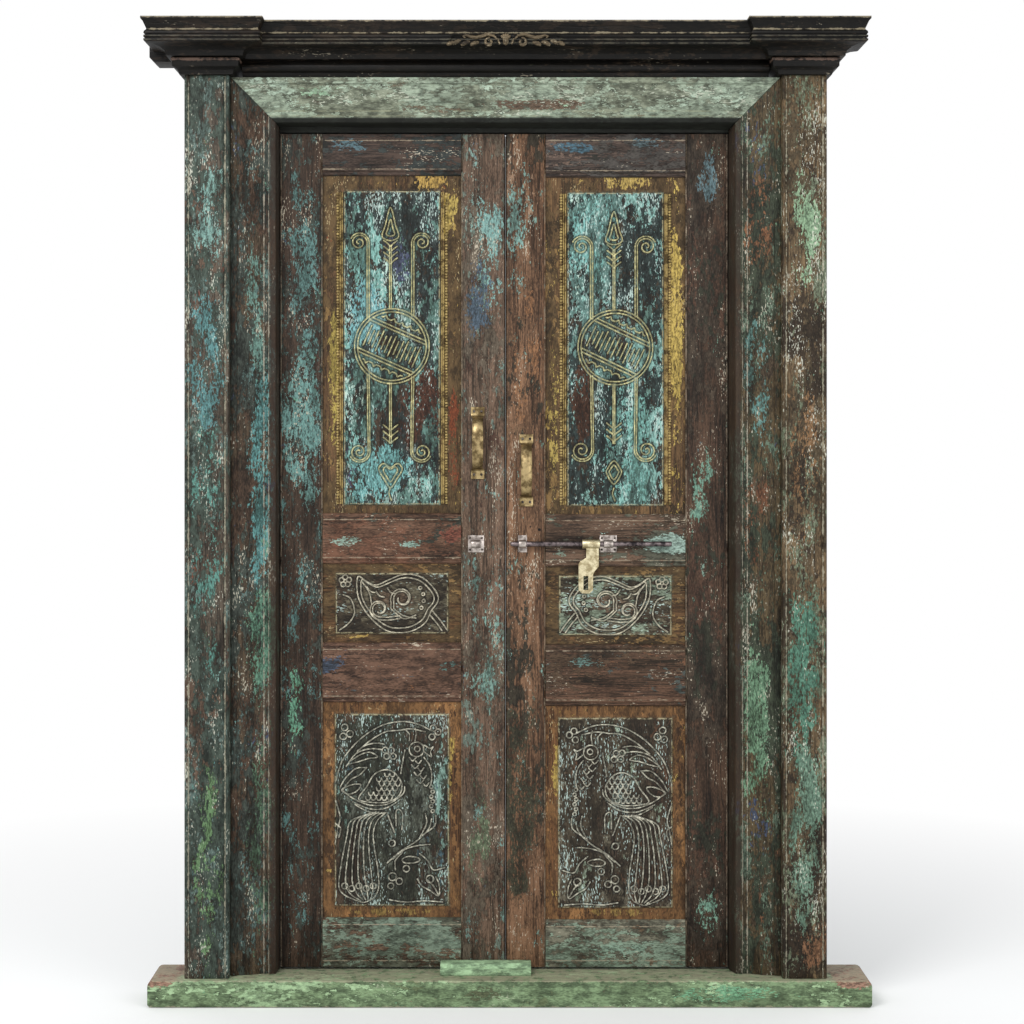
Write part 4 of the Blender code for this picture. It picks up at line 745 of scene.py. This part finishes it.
def leaf_lines():
    """A leaf in double outline with veins, its stem, and two curling tendrils on it."""
    outline = [(-30, 22), (-22, 17.5), (-14, 14.5), (-3, 19), (8, 23.5), (17, 24), (27, 21), (35, 14),
               (40.5, 5.5), (40, -1), (35, -7.5), (33, -12), (29.5, -18.5), (22, -24), (13, -27), (0, -27),
               (-10, -22.5), (-20, -13), (-27, -2.5), (-30.5, 8)]
    lines = drawn(outline, [(x * 0.90 + 0.4, z * 0.86 + 0.2) for x, z in outline], steps=4, closed=True)
    lines += drawn([(36, -8.5), (43, -17), (49, -25.5)], [(33.5, -12), (39.5, -19), (44, -25.5)],
                   [(-26, 17), (-20, 8), (-18, -2)], [(-46, -25), (-38, -19), (-33, -10), (-36, 2), (-43, 6)])
    for inward in (0, 2.6):
        lines.append((smooth_line([(21, -12 - inward), (10, -15 + inward), (-1 + inward, -6)], 5)
                      + curl((9, 2.5), 10.4 - inward, 3.6, 200, -390), False))
        lines.append((smooth_line([(7, -15 + inward), (-4, -16.5 + inward)], 3)
                      + curl((-11, -6.5), 9.6 - inward, 3.2, 270, -390), False))
    for x, z in ((-22, 13), (-14, 9), (-4, 12)):
        lines += drawn([(x, z), (x + 3, z - 4), (x + 7, z - 5)], steps=4)
    lines += [ring(x, z, 1.4, 10) for x, z in ((25, 12), (27.5, 6.5), (28, 0.5), (26, -5.5))]
    petals = [math.radians(72 * turn + 20) for turn in range(5)]
    return lines + [ring(-41 + 3.4 * math.cos(a), 18 + 3.4 * math.sin(a), 2.2, 12) for a in petals]


def bird_lines():
    """A bird with a hanging tail under an arching bough with flowers, in hundredths of the field's width."""
    lines = drawn(
        [(-49, 24), (-43.6, 41.7), (-34.6, 54.4), (-21.9, 65.9), (-6.6, 74.1), (8.7, 76.7), (21.4, 74.8),
         (34, 69)],
        [(-29.6, 51.2), (-18, 60.8), (-5.4, 67.8), (6, 69), (16.3, 70.3), (29, 67.8)],
        [(-30, 51), (-23, 56), (-14, 58), (-6.6, 57)], [(-39.7, 37.8), (-31, 49), (-19.4, 53), (-9.2, 52.5)],
        [(-45.5, 18.7), (-40, 28), (-31, 36), (-22, 36.6)], [(-43, 17), (-36, 26), (-28, 30.5), (-22, 36.6)],
        [(-43.6, 17.5), (-39, 13.6), (-31, 8.5), (-18, 4), (-3, 5.4), (9.3, 13.6), (11, 20)],
        [(-34, 7), (-28, 4), (-17, 0.5), (-4, 2), (7, 9)], [(-32, 4.7), (-22, -1), (-13, -3), (-4, -2.3)],
        [(11.2, 51.8), (9.3, 41.7), (7.6, 31.5)], [(27.8, 45.5), (33, 38), (34.6, 28), (33, 20)],
        [(-4, -3), (-0.3, -13), (2.3, -19.5)], [(3.6, -14), (3.6, -2), (6.2, 0.4), (9.3, -4.2), (8.7, -17)],
        [(-4, -46), (7.4, -36), (21.4, -27), (31.6, -17), (34.4, -8)],
        [(1, -42.4), (11, -34.5), (22, -31), (33, -30)], [(24, -24), (30, -12), (29, -3)],
        [(26, -22), (37, -14), (38, -5)], [(9, -37), (3, -44), (3, -52)],
        [(24, -38), (31, -44), (36, -52), (46, -50)], [(-49, 8), (-45, -6), (-47, -16), (-49.4, -30)],
        [(-49, -12), (-44.5, -16), (-46, -24)], [(30, -60), (36, -66), (40, -73)],
        [(22, -60), (26, -66), (33, -70), (40.5, -74.5), (41, -65), (38, -58)],
        [(-2, -78), (12, -80), (28, -79), (44, -80)], [(15, 60), (15, 66), (11, 70)],
        [(20, 60), (21, 66), (20, 71)])
    lines += drawn(
        [(-37.8, 40.4), (-28.3, 47.4), (-19.4, 50), (-12.4, 46), (-21, 44.5), (-30, 41.5)],
        [(-43.6, 17.5), (-34.6, 21.9), (-27, 21.9), (-31, 16), (-38, 13.8)],
        [(9, -43), (14, -40.4), (22, -41.4), (24, -44), (18, -46.2), (11, -45.8)],
        [(27.8, 56), (33, 53.5), (36, 55), (33.5, 50.5), (34.4, 46), (29, 49.6), (27.6, 52)], closed=True)
    for x, z, radius in (
            (36, 71, 2.6), (40, 67.6, 2.6), (34.8, 63.4, 2.6), (-41, 71.6, 2.8), (-36.4, 66, 2.8),
            (-42.3, 63.8, 2.8), (-5.8, 52, 2.5), (-0.6, 51.6, 2.5), (-4.6, 46.6, 2.5), (1.2, 46.4, 2.5),
            (21.4, 52.5, 6.4), (22, 53, 2.4), (0, -29, 2.8), (12.5, -51, 2.8), (0.5, -58, 3.4),
            (6.4, -62, 2.8), (-1, -66, 2.6), (33, -60, 3.2)):
        lines.append(ring(x, z, radius, 18))
    lines += drawn([(-29, 9.5), (-21.6, 20.6), (-16.6, 29.4), (-10.3, 33.8), (-4, 34.8), (2.3, 32),
                    (7.3, 25.7), (8.8, 20.6), (7.3, 14.3), (2.3, 9.3), (-6.5, 6.4), (-18, 6.6)],
                   steps=6, closed=True)
    for row in range(6):
        for step in range(7):
            x, z = -23 + 4.7 * step + 2.3 * (row % 2), 30.6 - 4.1 * row
            if ((x + 3) / 10.5) ** 2 + ((z - 21) / 11.5) ** 2 < 0.95 or (z < 17 and -22 < x < -4):
                scale = [(x - 2.2, z + 1.2), (x - 1.2, z - 1.4), (x + 1.2, z - 1.4), (x + 2.2, z + 1.2)]
                lines += drawn(scale, steps=3)
    lines += [ring(34.2 + 1.2 * (step % 2), 20 - 4.2 * step, 1.5, 10) for step in range(6)]
    for step in range(4):
        x, z = 15 + 2.2 * step, 44 - 6.5 * step
        lines += drawn([(x, z + 1.5), (x + 3, z - 1.5), (x + 6, z + 1.5)],
                       [(x + 5.5, z - 1.5), (x + 8, z - 4), (x + 10.5, z - 1)], steps=3)
    left = [(-22, -4), (-36, -10), (-39, -22), (-43.6, -45), (-46, -66), (-41, -74), (-29.6, -79)]
    right = [(-6, -3), (-12.5, -9), (-16.2, -20), (-15, -34), (-12.2, -52), (-11.6, -68), (-16, -77)]
    for share in (0, 0.17, 0.34, 0.5, 0.66, 0.83, 1):
        lift = 6 * share * (1 - share)
        lines += drawn([(a[0] + (b[0] - a[0]) * share, a[1] + (b[1] - a[1]) * share + lift * (a[1] > -30))
                        for a, b in zip(left, right)], steps=6)
    lines += drawn([(-29.6, -79), (-24, -80.2), (-16, -77)], steps=4)
    return lines + [ring(-41 + 6.2 * step, -66 - 2.2 * (step % 2), 2.6, 12) for step in range(5)]


def panel_grid(low, high, field, strips, step_x, step_z):
    """Grid lines across and up a board: fine over the field and its strips, coarse over the margins."""
    inner, outer = field[0] - strips, field[1] + strips
    xs = np.concatenate([np.linspace(low[0], inner, 7)[:-1], np.arange(inner, outer, step_x),
                         np.linspace(outer, high[0], 7)])
    zs = np.concatenate([np.linspace(low[2], field[2], 7)[:-1], np.arange(field[2], field[3], step_z),
                         np.linspace(field[3], high[2], 7)])
    return np.unique(np.round(xs, 6)), np.unique(np.round(zs, 6))


def soft_step(value, start, stop):
    t = np.clip((value - start) / (stop - start), 0, 1)
    return t * t * (3 - 2 * t)


def panel_opening(name):
    """The part of a panel that shows inside its frame, as ranges across and up."""
    low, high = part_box(name)
    return (low[0] + TONGUE, high[0] - TONGUE), (low[2] + TONGUE, high[2] - TONGUE)


def field_edges(opening, middle, half, below, above):
    """The edges of a panel's raised field: left, right, bottom and top."""
    return middle - half, middle + half, opening[1][0] + below, opening[1][1] - above


def carve_panel(name, opening, field, lines, unit, centre, hand, strips=0, step_x=0.00122, step_z=0.00122,
                masses=()):
    """The board's grid with its raised field, pearled strips and carved lines."""
    (x0, x1), (z0, z1) = opening
    xs, zs = panel_grid((x0, 0, z0), (x1, 0, z1), field, strips, step_x, step_z)
    x, z = np.meshgrid(xs, zs)
    inside = np.minimum(np.minimum(x - field[0], field[1] - x), np.minimum(z - field[2], field[3] - z))
    heights = FIELD_RISE * soft_step(inside, 0, 0.003)
    pearl = np.zeros_like(heights)
    if strips:
        beside = np.maximum(field[0] - x, x - field[1])
        along = (z > field[2] + 0.003) & (z < field[3] - 0.003)
        for at in REEDS_AT:
            reed = np.clip(1 - ((beside - at) / REED_HALF) ** 2, 0, 1) ** 0.5 * along
            heights = heights + REED_RISE * reed
            pearl = np.maximum(pearl, reed * 0.9)
        phase = np.abs((z - field[2]) % PEARL_PITCH - PEARL_PITCH / 2)
        bead = np.sqrt(np.clip(1 - ((beside - PEARLS_AT) / PEARL_WIDE) ** 2 - (phase / PEARL_TALL) ** 2,
                               0, 1)) * along
        heights = heights + PEARL_RISE * bead
        pearl = np.maximum(pearl, bead)
    placed = [([(centre[0] + hand * u * unit, centre[1] + v * unit) for u, v in path], closed)
              for path, closed in lines]
    apart = nearest_line(xs, zs, placed, 0.008)
    for middle, radii, rise in masses:
        u = (x - centre[0]) * hand / unit - middle[0]
        v = (z - centre[1]) / unit - middle[1]
        heights = heights + rise * np.sqrt(np.clip(1 - (u / radii[0]) ** 2 - (v / radii[1]) ** 2, 0, 1))
    ridge = np.clip(1 - (apart / LINE_HALF) ** 2, 0, 1)
    groove = np.exp(-((apart - GROOVE_AT) / GROOVE_WIDE) ** 2)
    brim = np.exp(-((inside - 0.0024) / 0.0013) ** 2)
    heights = heights + (LINE_RISE * ridge - GROOVE_DEEP * groove) * (inside > 0)
    marks = {"line": np.clip(ridge * 1.6, 0, 1) * (inside > 0), "groove": groove * (inside > 0), "brim": brim,
             "field": soft_step(inside, -0.0005, 0.002), "pearl": pearl}
    return carved_board(name, xs, zs, heights, marks)


def panel_paint(name, seed, along, field, margin, line_tint, wear):
    """Worn paint of the raised field, of the margin round it, and of the pale, rubbed carving, with painted
    shade darkening the cut grooves. field and margin are each (wood, coats, patches). wear is what is left
    of the rubbed lines."""
    material, tree = new_paint(name)
    deep = (0.02, 0.1)
    coords, colour, height = painted(tree, along, seed, *field, (0.40, (176, 196, 188)), 0.8, 0.8, deep)
    _, border, _ = painted(tree, along, seed + 40, *margin, (0.22, (176, 158, 118)), 0.6, 0.5, deep)
    field_mark, groove, brim, line, pearl = (
        place(tree, "ShaderNodeAttribute", attribute_name=mark).outputs["Fac"]
        for mark in ("field", "groove", "brim", "line", "pearl"))
    worn = noise(tree, coords, 70, 3, 0.8)
    colour = over(tree, field_mark, border, colour)
    # Painted shade: the cut grooves beside the carved lines are darkened nearly to black.
    colour = over(tree, times(tree, groove, 0.80), colour, (0.007, 0.006, 0.005, 1))
    brim = times(tree, brim, ramp(tree, worn, 0.42, 0.56, 0.0, 0.8))
    colour = over(tree, brim, colour, rgb(188, 178, 142))
    rubbed = over(tree, ramp(tree, worn, 0.5, 0.62), rgb(*[c * 0.80 for c in line_tint]), rgb(*line_tint))
    colour = over(tree, times(tree, line, ramp(tree, worn, 0.38, 0.58, wear, 1.0)), colour, rubbed)
    pearl = times(tree, pearl, ramp(tree, worn, 0.40, 0.58, 0.10, 0.9))
    colour = over(tree, pearl, colour, rgb(190, 166, 106))
    finish_paint(tree, colour, height, 0.55, 0.0014)
    return material


TOP_FIELD = {
    "left": (((30, 26, 22), (72, 58, 46)),
        [((48, 56, 54), 0.58, 8), ((80, 108, 100), 0.46, 9), ((110, 152, 144), 0.36, 12),
         ((60, 56, 74), 0.2, 9), ((44, 38, 30), 0.26, 10), ((160, 184, 172), 0.24, 16)],
        [(-0.32, 1.57, 0.07, 0.18, (108, 156, 158), 0.52), (-0.3, 1.2, 0.11, 0.1, (108, 158, 156), 0.56),
         (-0.2, 1.36, 0.07, 0.14, (72, 46, 34), 0.62), (-0.24, 1.7, 0.06, 0.12, (66, 72, 92), 0.44)]),
    "right": (((28, 26, 22), (70, 58, 46)),
        [((44, 54, 52), 0.58, 8), ((84, 112, 106), 0.46, 9), ((118, 156, 148), 0.38, 12),
         ((54, 46, 36), 0.28, 9), ((164, 188, 176), 0.26, 16)],
        [(0.2, 1.74, 0.09, 0.15, (112, 160, 154), 0.5), (0.28, 1.28, 0.09, 0.24, (108, 154, 146), 0.52),
         (0.18, 1.38, 0.04, 0.12, (70, 46, 32), 0.7)]),
}
OCHRE = [((84, 66, 42), 0.55, 7), ((112, 88, 54), 0.34, 9), ((52, 40, 24), 0.34, 8),
         ((142, 118, 64), 0.20, 9)]
RUSSET = [((106, 76, 46), 0.55, 7), ((128, 92, 56), 0.34, 9), ((58, 40, 24), 0.32, 8),
          ((146, 122, 66), 0.18, 9)]
TOP_MARGIN = {
    "left": (((38, 26, 16), (104, 78, 52)), OCHRE,
        [(-0.13, 1.82, 0.03, 0.09, (166, 144, 78), 0.54), (-0.22, 1.875, 0.13, 0.03, (164, 134, 72), 0.46),
         (-0.395, 1.42, 0.02, 0.24, (156, 138, 72), 0.54), (-0.12, 1.3, 0.02, 0.2, (110, 58, 34), 0.5)]),
    "right": (((40, 28, 16), (108, 82, 54)), OCHRE,
        [(0.392, 1.5, 0.022, 0.38, (174, 150, 80), 0.6), (0.11, 1.32, 0.018, 0.26, (156, 136, 74), 0.5),
         (0.25, 1.875, 0.15, 0.03, (164, 140, 78), 0.48)]),
}
TOP_UNIT, MIDDLE_UNIT, BOTTOM_UNIT = 0.00223, 0.00261, 0.00265
for word, drawing in (("left", (24, 107, 122, 8.5, True)), ("right", (25.6, 104, 121, 9.5, False))):
    name = word + "_top_panel"
    opening = panel_opening(name)
    middle = (opening[0][0] + opening[0][1]) / 2
    field = field_edges(opening, middle, 0.1115, 0.0185, 0.034)
    centre = (middle, field[2] + (field[3] - field[2]) * 0.505)
    board = carve_panel(name, opening, field, long_panel_lines(*drawing), TOP_UNIT, centre, 1, PEARL_STRIP,
                        0.00130, 0.00165)
    settle(board, name, panel_paint(word + " long panel paint", 50 + len(word), "Z", TOP_FIELD[word],
                                    TOP_MARGIN[word], (216, 208, 154), 0.60))
for word, side in (("left", -1), ("right", 1)):
    name = word + "_middle_panel"
    opening = panel_opening(name)
    centre = ((opening[0][0] + opening[0][1]) / 2, (opening[1][0] + opening[1][1]) / 2 + 1.5 * MIDDLE_UNIT)
    field = field_edges(opening, centre[0], 0.1305, 0.020, 0.020)
    board = carve_panel(name, opening, field, leaf_lines(), MIDDLE_UNIT, centre, -side)
    coats = [((60, 52, 40), 0.55, 7), ((90, 84, 68), 0.40, 9),
             ((118, 130, 112), 0.24 if side < 0 else 0.46, 11)]
    settle(board, name, panel_paint(
        word + " leaf panel paint", 60 + len(word), "X",
        (((32, 24, 16), (86, 70, 54)), coats, [(*centre, 0.07, 0.035, (96, 80, 64), 0.56)]),
        (((40, 28, 16), (104, 76, 48)), OCHRE, []), (214, 206, 182), 0.55))
    name = word + "_bottom_panel"
    opening = panel_opening(name)
    centre = ((opening[0][0] + opening[0][1]) / 2, (opening[1][0] + opening[1][1]) / 2)
    field = field_edges(opening, centre[0], 0.1325, 0.026, 0.026)
    masses = (((-5, 20), (15, 14.5), 0.0022), ((21.4, 52.5), (6.5, 6.5), 0.0014))
    board = carve_panel(name, opening, field, bird_lines(), BOTTOM_UNIT, centre, -side, masses=masses)
    coats = [((54, 56, 46), 0.55, 7), ((80, 84, 74), 0.42, 9), ((104, 130, 120), 0.26, 11),
             ((60, 78, 84), 0.22, 9)]
    if side > 0:
        coats = [((62, 54, 42), 0.55, 7), ((90, 84, 70), 0.42, 9), ((122, 134, 116), 0.26, 11),
                 ((78, 56, 40), 0.26, 9)]
    patches = [(centre[0] - side * 0.12, 0.50, 0.03, 0.16, (158, 134, 70), 0.6),
               (centre[0], 0.19, 0.12, 0.014, (132, 108, 60), 0.5)]
    settle(board, name, panel_paint(
        word + " bird panel paint", 70 + len(word), "Z", (((28, 22, 16), (78, 64, 50)), coats, []),
        (((42, 26, 14), (112, 78, 48)), RUSSET, patches), (206, 202, 182), 0.30))


# Pulls: cast brass straps bowed out between two flat plates, each plate held by two round-headed
# screws. Handling keeps the grips bright, and the plates have gone dull.
def metal(name, dark, light, rough, scale):
    """Metal with tarnish in soft clouds and a fine scatter of pits."""
    material, tree = new_paint(name)
    coords = place(tree, "ShaderNodeTexCoord").outputs["Object"]
    cloud = ramp(tree, noise(tree, coords, scale, 4, 0.65), 0.36, 0.62)
    pits = noise(tree, coords, scale * 14, 3, 0.7)
    colour = over(tree, cloud, rgb(*dark), rgb(*light))
    colour = over(tree, ramp(tree, pits, 0.62, 0.70), colour, rgb(*[c * 0.45 for c in dark]))
    shader = tree.nodes["Principled BSDF"]
    shader.inputs["Metallic"].default_value = 1.0
    tree.links.new(colour, shader.inputs["Base Color"])
    tree.links.new(ramp(tree, cloud, 0, 1, rough + 0.16, rough), shader.inputs["Roughness"])
    bump = place(tree, "ShaderNodeBump", {"Height": pits, "Distance": 0.0004, "Strength": 0.35})
    tree.links.new(bump.outputs[0], shader.inputs["Normal"])
    return material


def skin(name, rings):
    """A closed surface through rings of equal length, capped at both ends."""
    count = len(rings[0])
    points = [tuple(p) for loop in rings for p in loop]
    faces = [[level * count + i, level * count + (i + 1) % count, (level + 1) * count + (i + 1) % count,
              (level + 1) * count + i] for level in range(len(rings) - 1) for i in range(count)]
    faces += [list(range(count))[::-1], list(range(len(points) - count, len(points)))]
    mesh = bpy.data.meshes.new(name)
    mesh.from_pydata(points, [], faces)
    piece = bpy.data.objects.new(name, mesh)
    bpy.context.scene.collection.objects.link(piece)
    pick(piece)
    bpy.ops.object.mode_set(mode="EDIT")
    bpy.ops.mesh.select_all(action="SELECT")
    bpy.ops.mesh.normals_make_consistent(inside=False)
    bpy.ops.object.mode_set(mode="OBJECT")
    bpy.ops.object.shade_smooth_by_angle(angle=math.radians(45))
    return piece


def screws(name, places, radius, material, body):
    """Round-headed screws on a face that looks towards -Y, or +Y where the last value is 1."""
    made = []
    for x, y, z, way in places:
        bpy.ops.object.select_all(action="DESELECT")
        bpy.ops.mesh.primitive_uv_sphere_add(segments=14, ring_count=8, radius=radius, location=(x, y, z))
        head = bpy.context.object
        head.scale = (1, 0.42, 1)
        bpy.ops.object.transform_apply(scale=True, location=True)
        made.append(head)
        bpy.ops.mesh.primitive_cube_add(size=1, location=(x, y + way * radius * 0.40, z))
        slot_cut = bpy.context.object
        slot_cut.scale = (radius * 2.2, radius * 0.36, radius * 0.30)
        slot_cut.rotation_euler = (0, 0.6 + 37 * x, 0)
        bpy.ops.object.transform_apply(scale=True, location=True, rotation=True)
        cut = head.modifiers.new("Slot", "BOOLEAN")
        cut.operation, cut.solver, cut.object = "DIFFERENCE", "EXACT", slot_cut
        bpy.context.view_layer.objects.active = head
        bpy.ops.object.modifier_apply(modifier="Slot")
        bpy.data.objects.remove(slot_cut)
    pick(*made)
    bpy.ops.object.join()
    piece = bpy.context.object
    piece.name = name
    bpy.ops.object.shade_smooth_by_angle(angle=math.radians(40))
    piece.data.materials.clear()
    piece.data.materials.append(material)
    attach(piece, body)


PULL_HALF, PULL_PLATE, PULL_REACH, EDGE_ROUND = 0.0825, 0.020, 0.032, 0.0012
PULL_RINGS = 48
PLATE_HALF, GRIP_HALF, WAIST = 0.0155, 0.0128, 0.12
PLATE_THICK, GRIP_SWELL = 0.0028, 0.0028
PLATE_CROWN, GRIP_CROWN = 0.0002, 0.0022
brass = metal("handled brass", (98, 82, 56), (184, 162, 118), 0.42, 45)
screw_steel = metal("old screw steel", (52, 46, 42), (112, 104, 96), 0.5, 200)
for word in ("left", "right"):
    name = word + "_pull"
    low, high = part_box(name)
    x, z, wall = (low[0] + high[0]) / 2, (low[2] + high[2]) / 2, high[1]
    grip = PULL_HALF - PULL_PLATE
    rings = []
    for i in range(PULL_RINGS + 1):
        at = (-1 + 2 * i / PULL_RINGS) * PULL_HALF
        bow = max(0.0, 1 - abs(at / grip) ** 3.2) ** 0.8
        plate = soft_step(abs(at), grip * 0.90, grip * 1.0)
        width = (PLATE_HALF * plate + GRIP_HALF * (1 - plate)) * (1 - WAIST * (1 - plate) * (at / grip) ** 2)
        back = wall - PULL_REACH * bow
        thick = PLATE_THICK + GRIP_SWELL * (1 - plate)
        crown = PLATE_CROWN + GRIP_CROWN * (1 - plate)
        loop = []
        for across in np.linspace(-1, 1, 9):
            front = back - thick - crown * (1 - across ** 2) + (EDGE_ROUND if abs(across) == 1 else 0)
            loop.append((x + across * width, front, z + at))
        loop += [(x + width, back - 0.0004, z + at), (x + width * 0.9, back, z + at),
                 (x - width * 0.9, back, z + at), (x - width, back - 0.0004, z + at)]
        rings.append(loop)
    settle(skin("cast_" + name, rings), name, brass)
    spots = [(x + dx, wall - 0.0031, z + dz * (PULL_HALF - PULL_PLATE / 2), -1)
             for dz in (-1, 1) for dx in (-0.0085, 0.0085)]
    screws(name + "_screws", spots, 0.0032, screw_steel, body_of[name])


# Slide bolt: a round iron rod that runs through two steel clamps on the right leaf and shoots into the
# catch on the left one. The slotted hasp turns on the rod and is pale brass.
iron = metal("dark bolt iron", (48, 44, 46), (128, 116, 116), 0.40, 70)
steel = metal("dull plated steel", (124, 114, 108), (196, 186, 178), 0.40, 70)
pale_brass = metal("pale brass", (164, 150, 116), (224, 212, 176), 0.42, 60)
for name, finish, width in (("bolt_rod", iron, 0.0004), ("bolt_catch", steel, 0.0006),
                            ("bolt_near_clamp", steel, 0.0006), ("bolt_far_clamp", steel, 0.0006),
                            ("bolt_hasp", pale_brass, 0.0007)):
    settle(eased(name, width, 2, 38), name, finish)
CLAMP_SCREW_Y, FLAP_SCREW_Y = 0.0232, 0.0750
for name in ("bolt_catch", "bolt_far_clamp"):
    low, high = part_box(name)
    spots = [(x, CLAMP_SCREW_Y, z, -1) for x in (low[0] + 0.0045, high[0] - 0.0045)
             for z in (low[2] + 0.006, high[2] - 0.006)]
    screws(name + "_screws", spots, 0.0026, screw_steel, body_of[name])


# Hinges: three iron butt hinges for each leaf on the hidden back, each flap held by four screws.
hinge_iron = metal("rusty hinge iron", (52, 36, 28), (96, 78, 66), 0.6, 90)
for word in ("left", "right"):
    for number in (1, 2, 3):
        for part in ("frame", "leaf"):
            name = f"{word}_{part}_flap_{number}"
            settle(eased(name, 0.0004, 1, 50), name, hinge_iron)
    for part in ("frame", "leaf"):
        spots = []
        for number in (1, 2, 3):
            low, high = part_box(f"{word}_{part}_flap_{number}")
            outward = (-1 if word == "left" else 1) * (1 if part == "frame" else -1)
            edge_x = low[0] if outward < 0 else high[0]
            for dx, dz in ((0.010, 0.014), (0.024, 0.036), (0.010, 0.086), (0.024, 0.064)):
                spots.append((edge_x - outward * dx, FLAP_SCREW_Y, low[2] + dz, 1))
        screws(f"{word}_{part}_hinge_screws", spots, 0.0034, screw_steel,
               body_of[f"{word}_{part}_flap_1"])
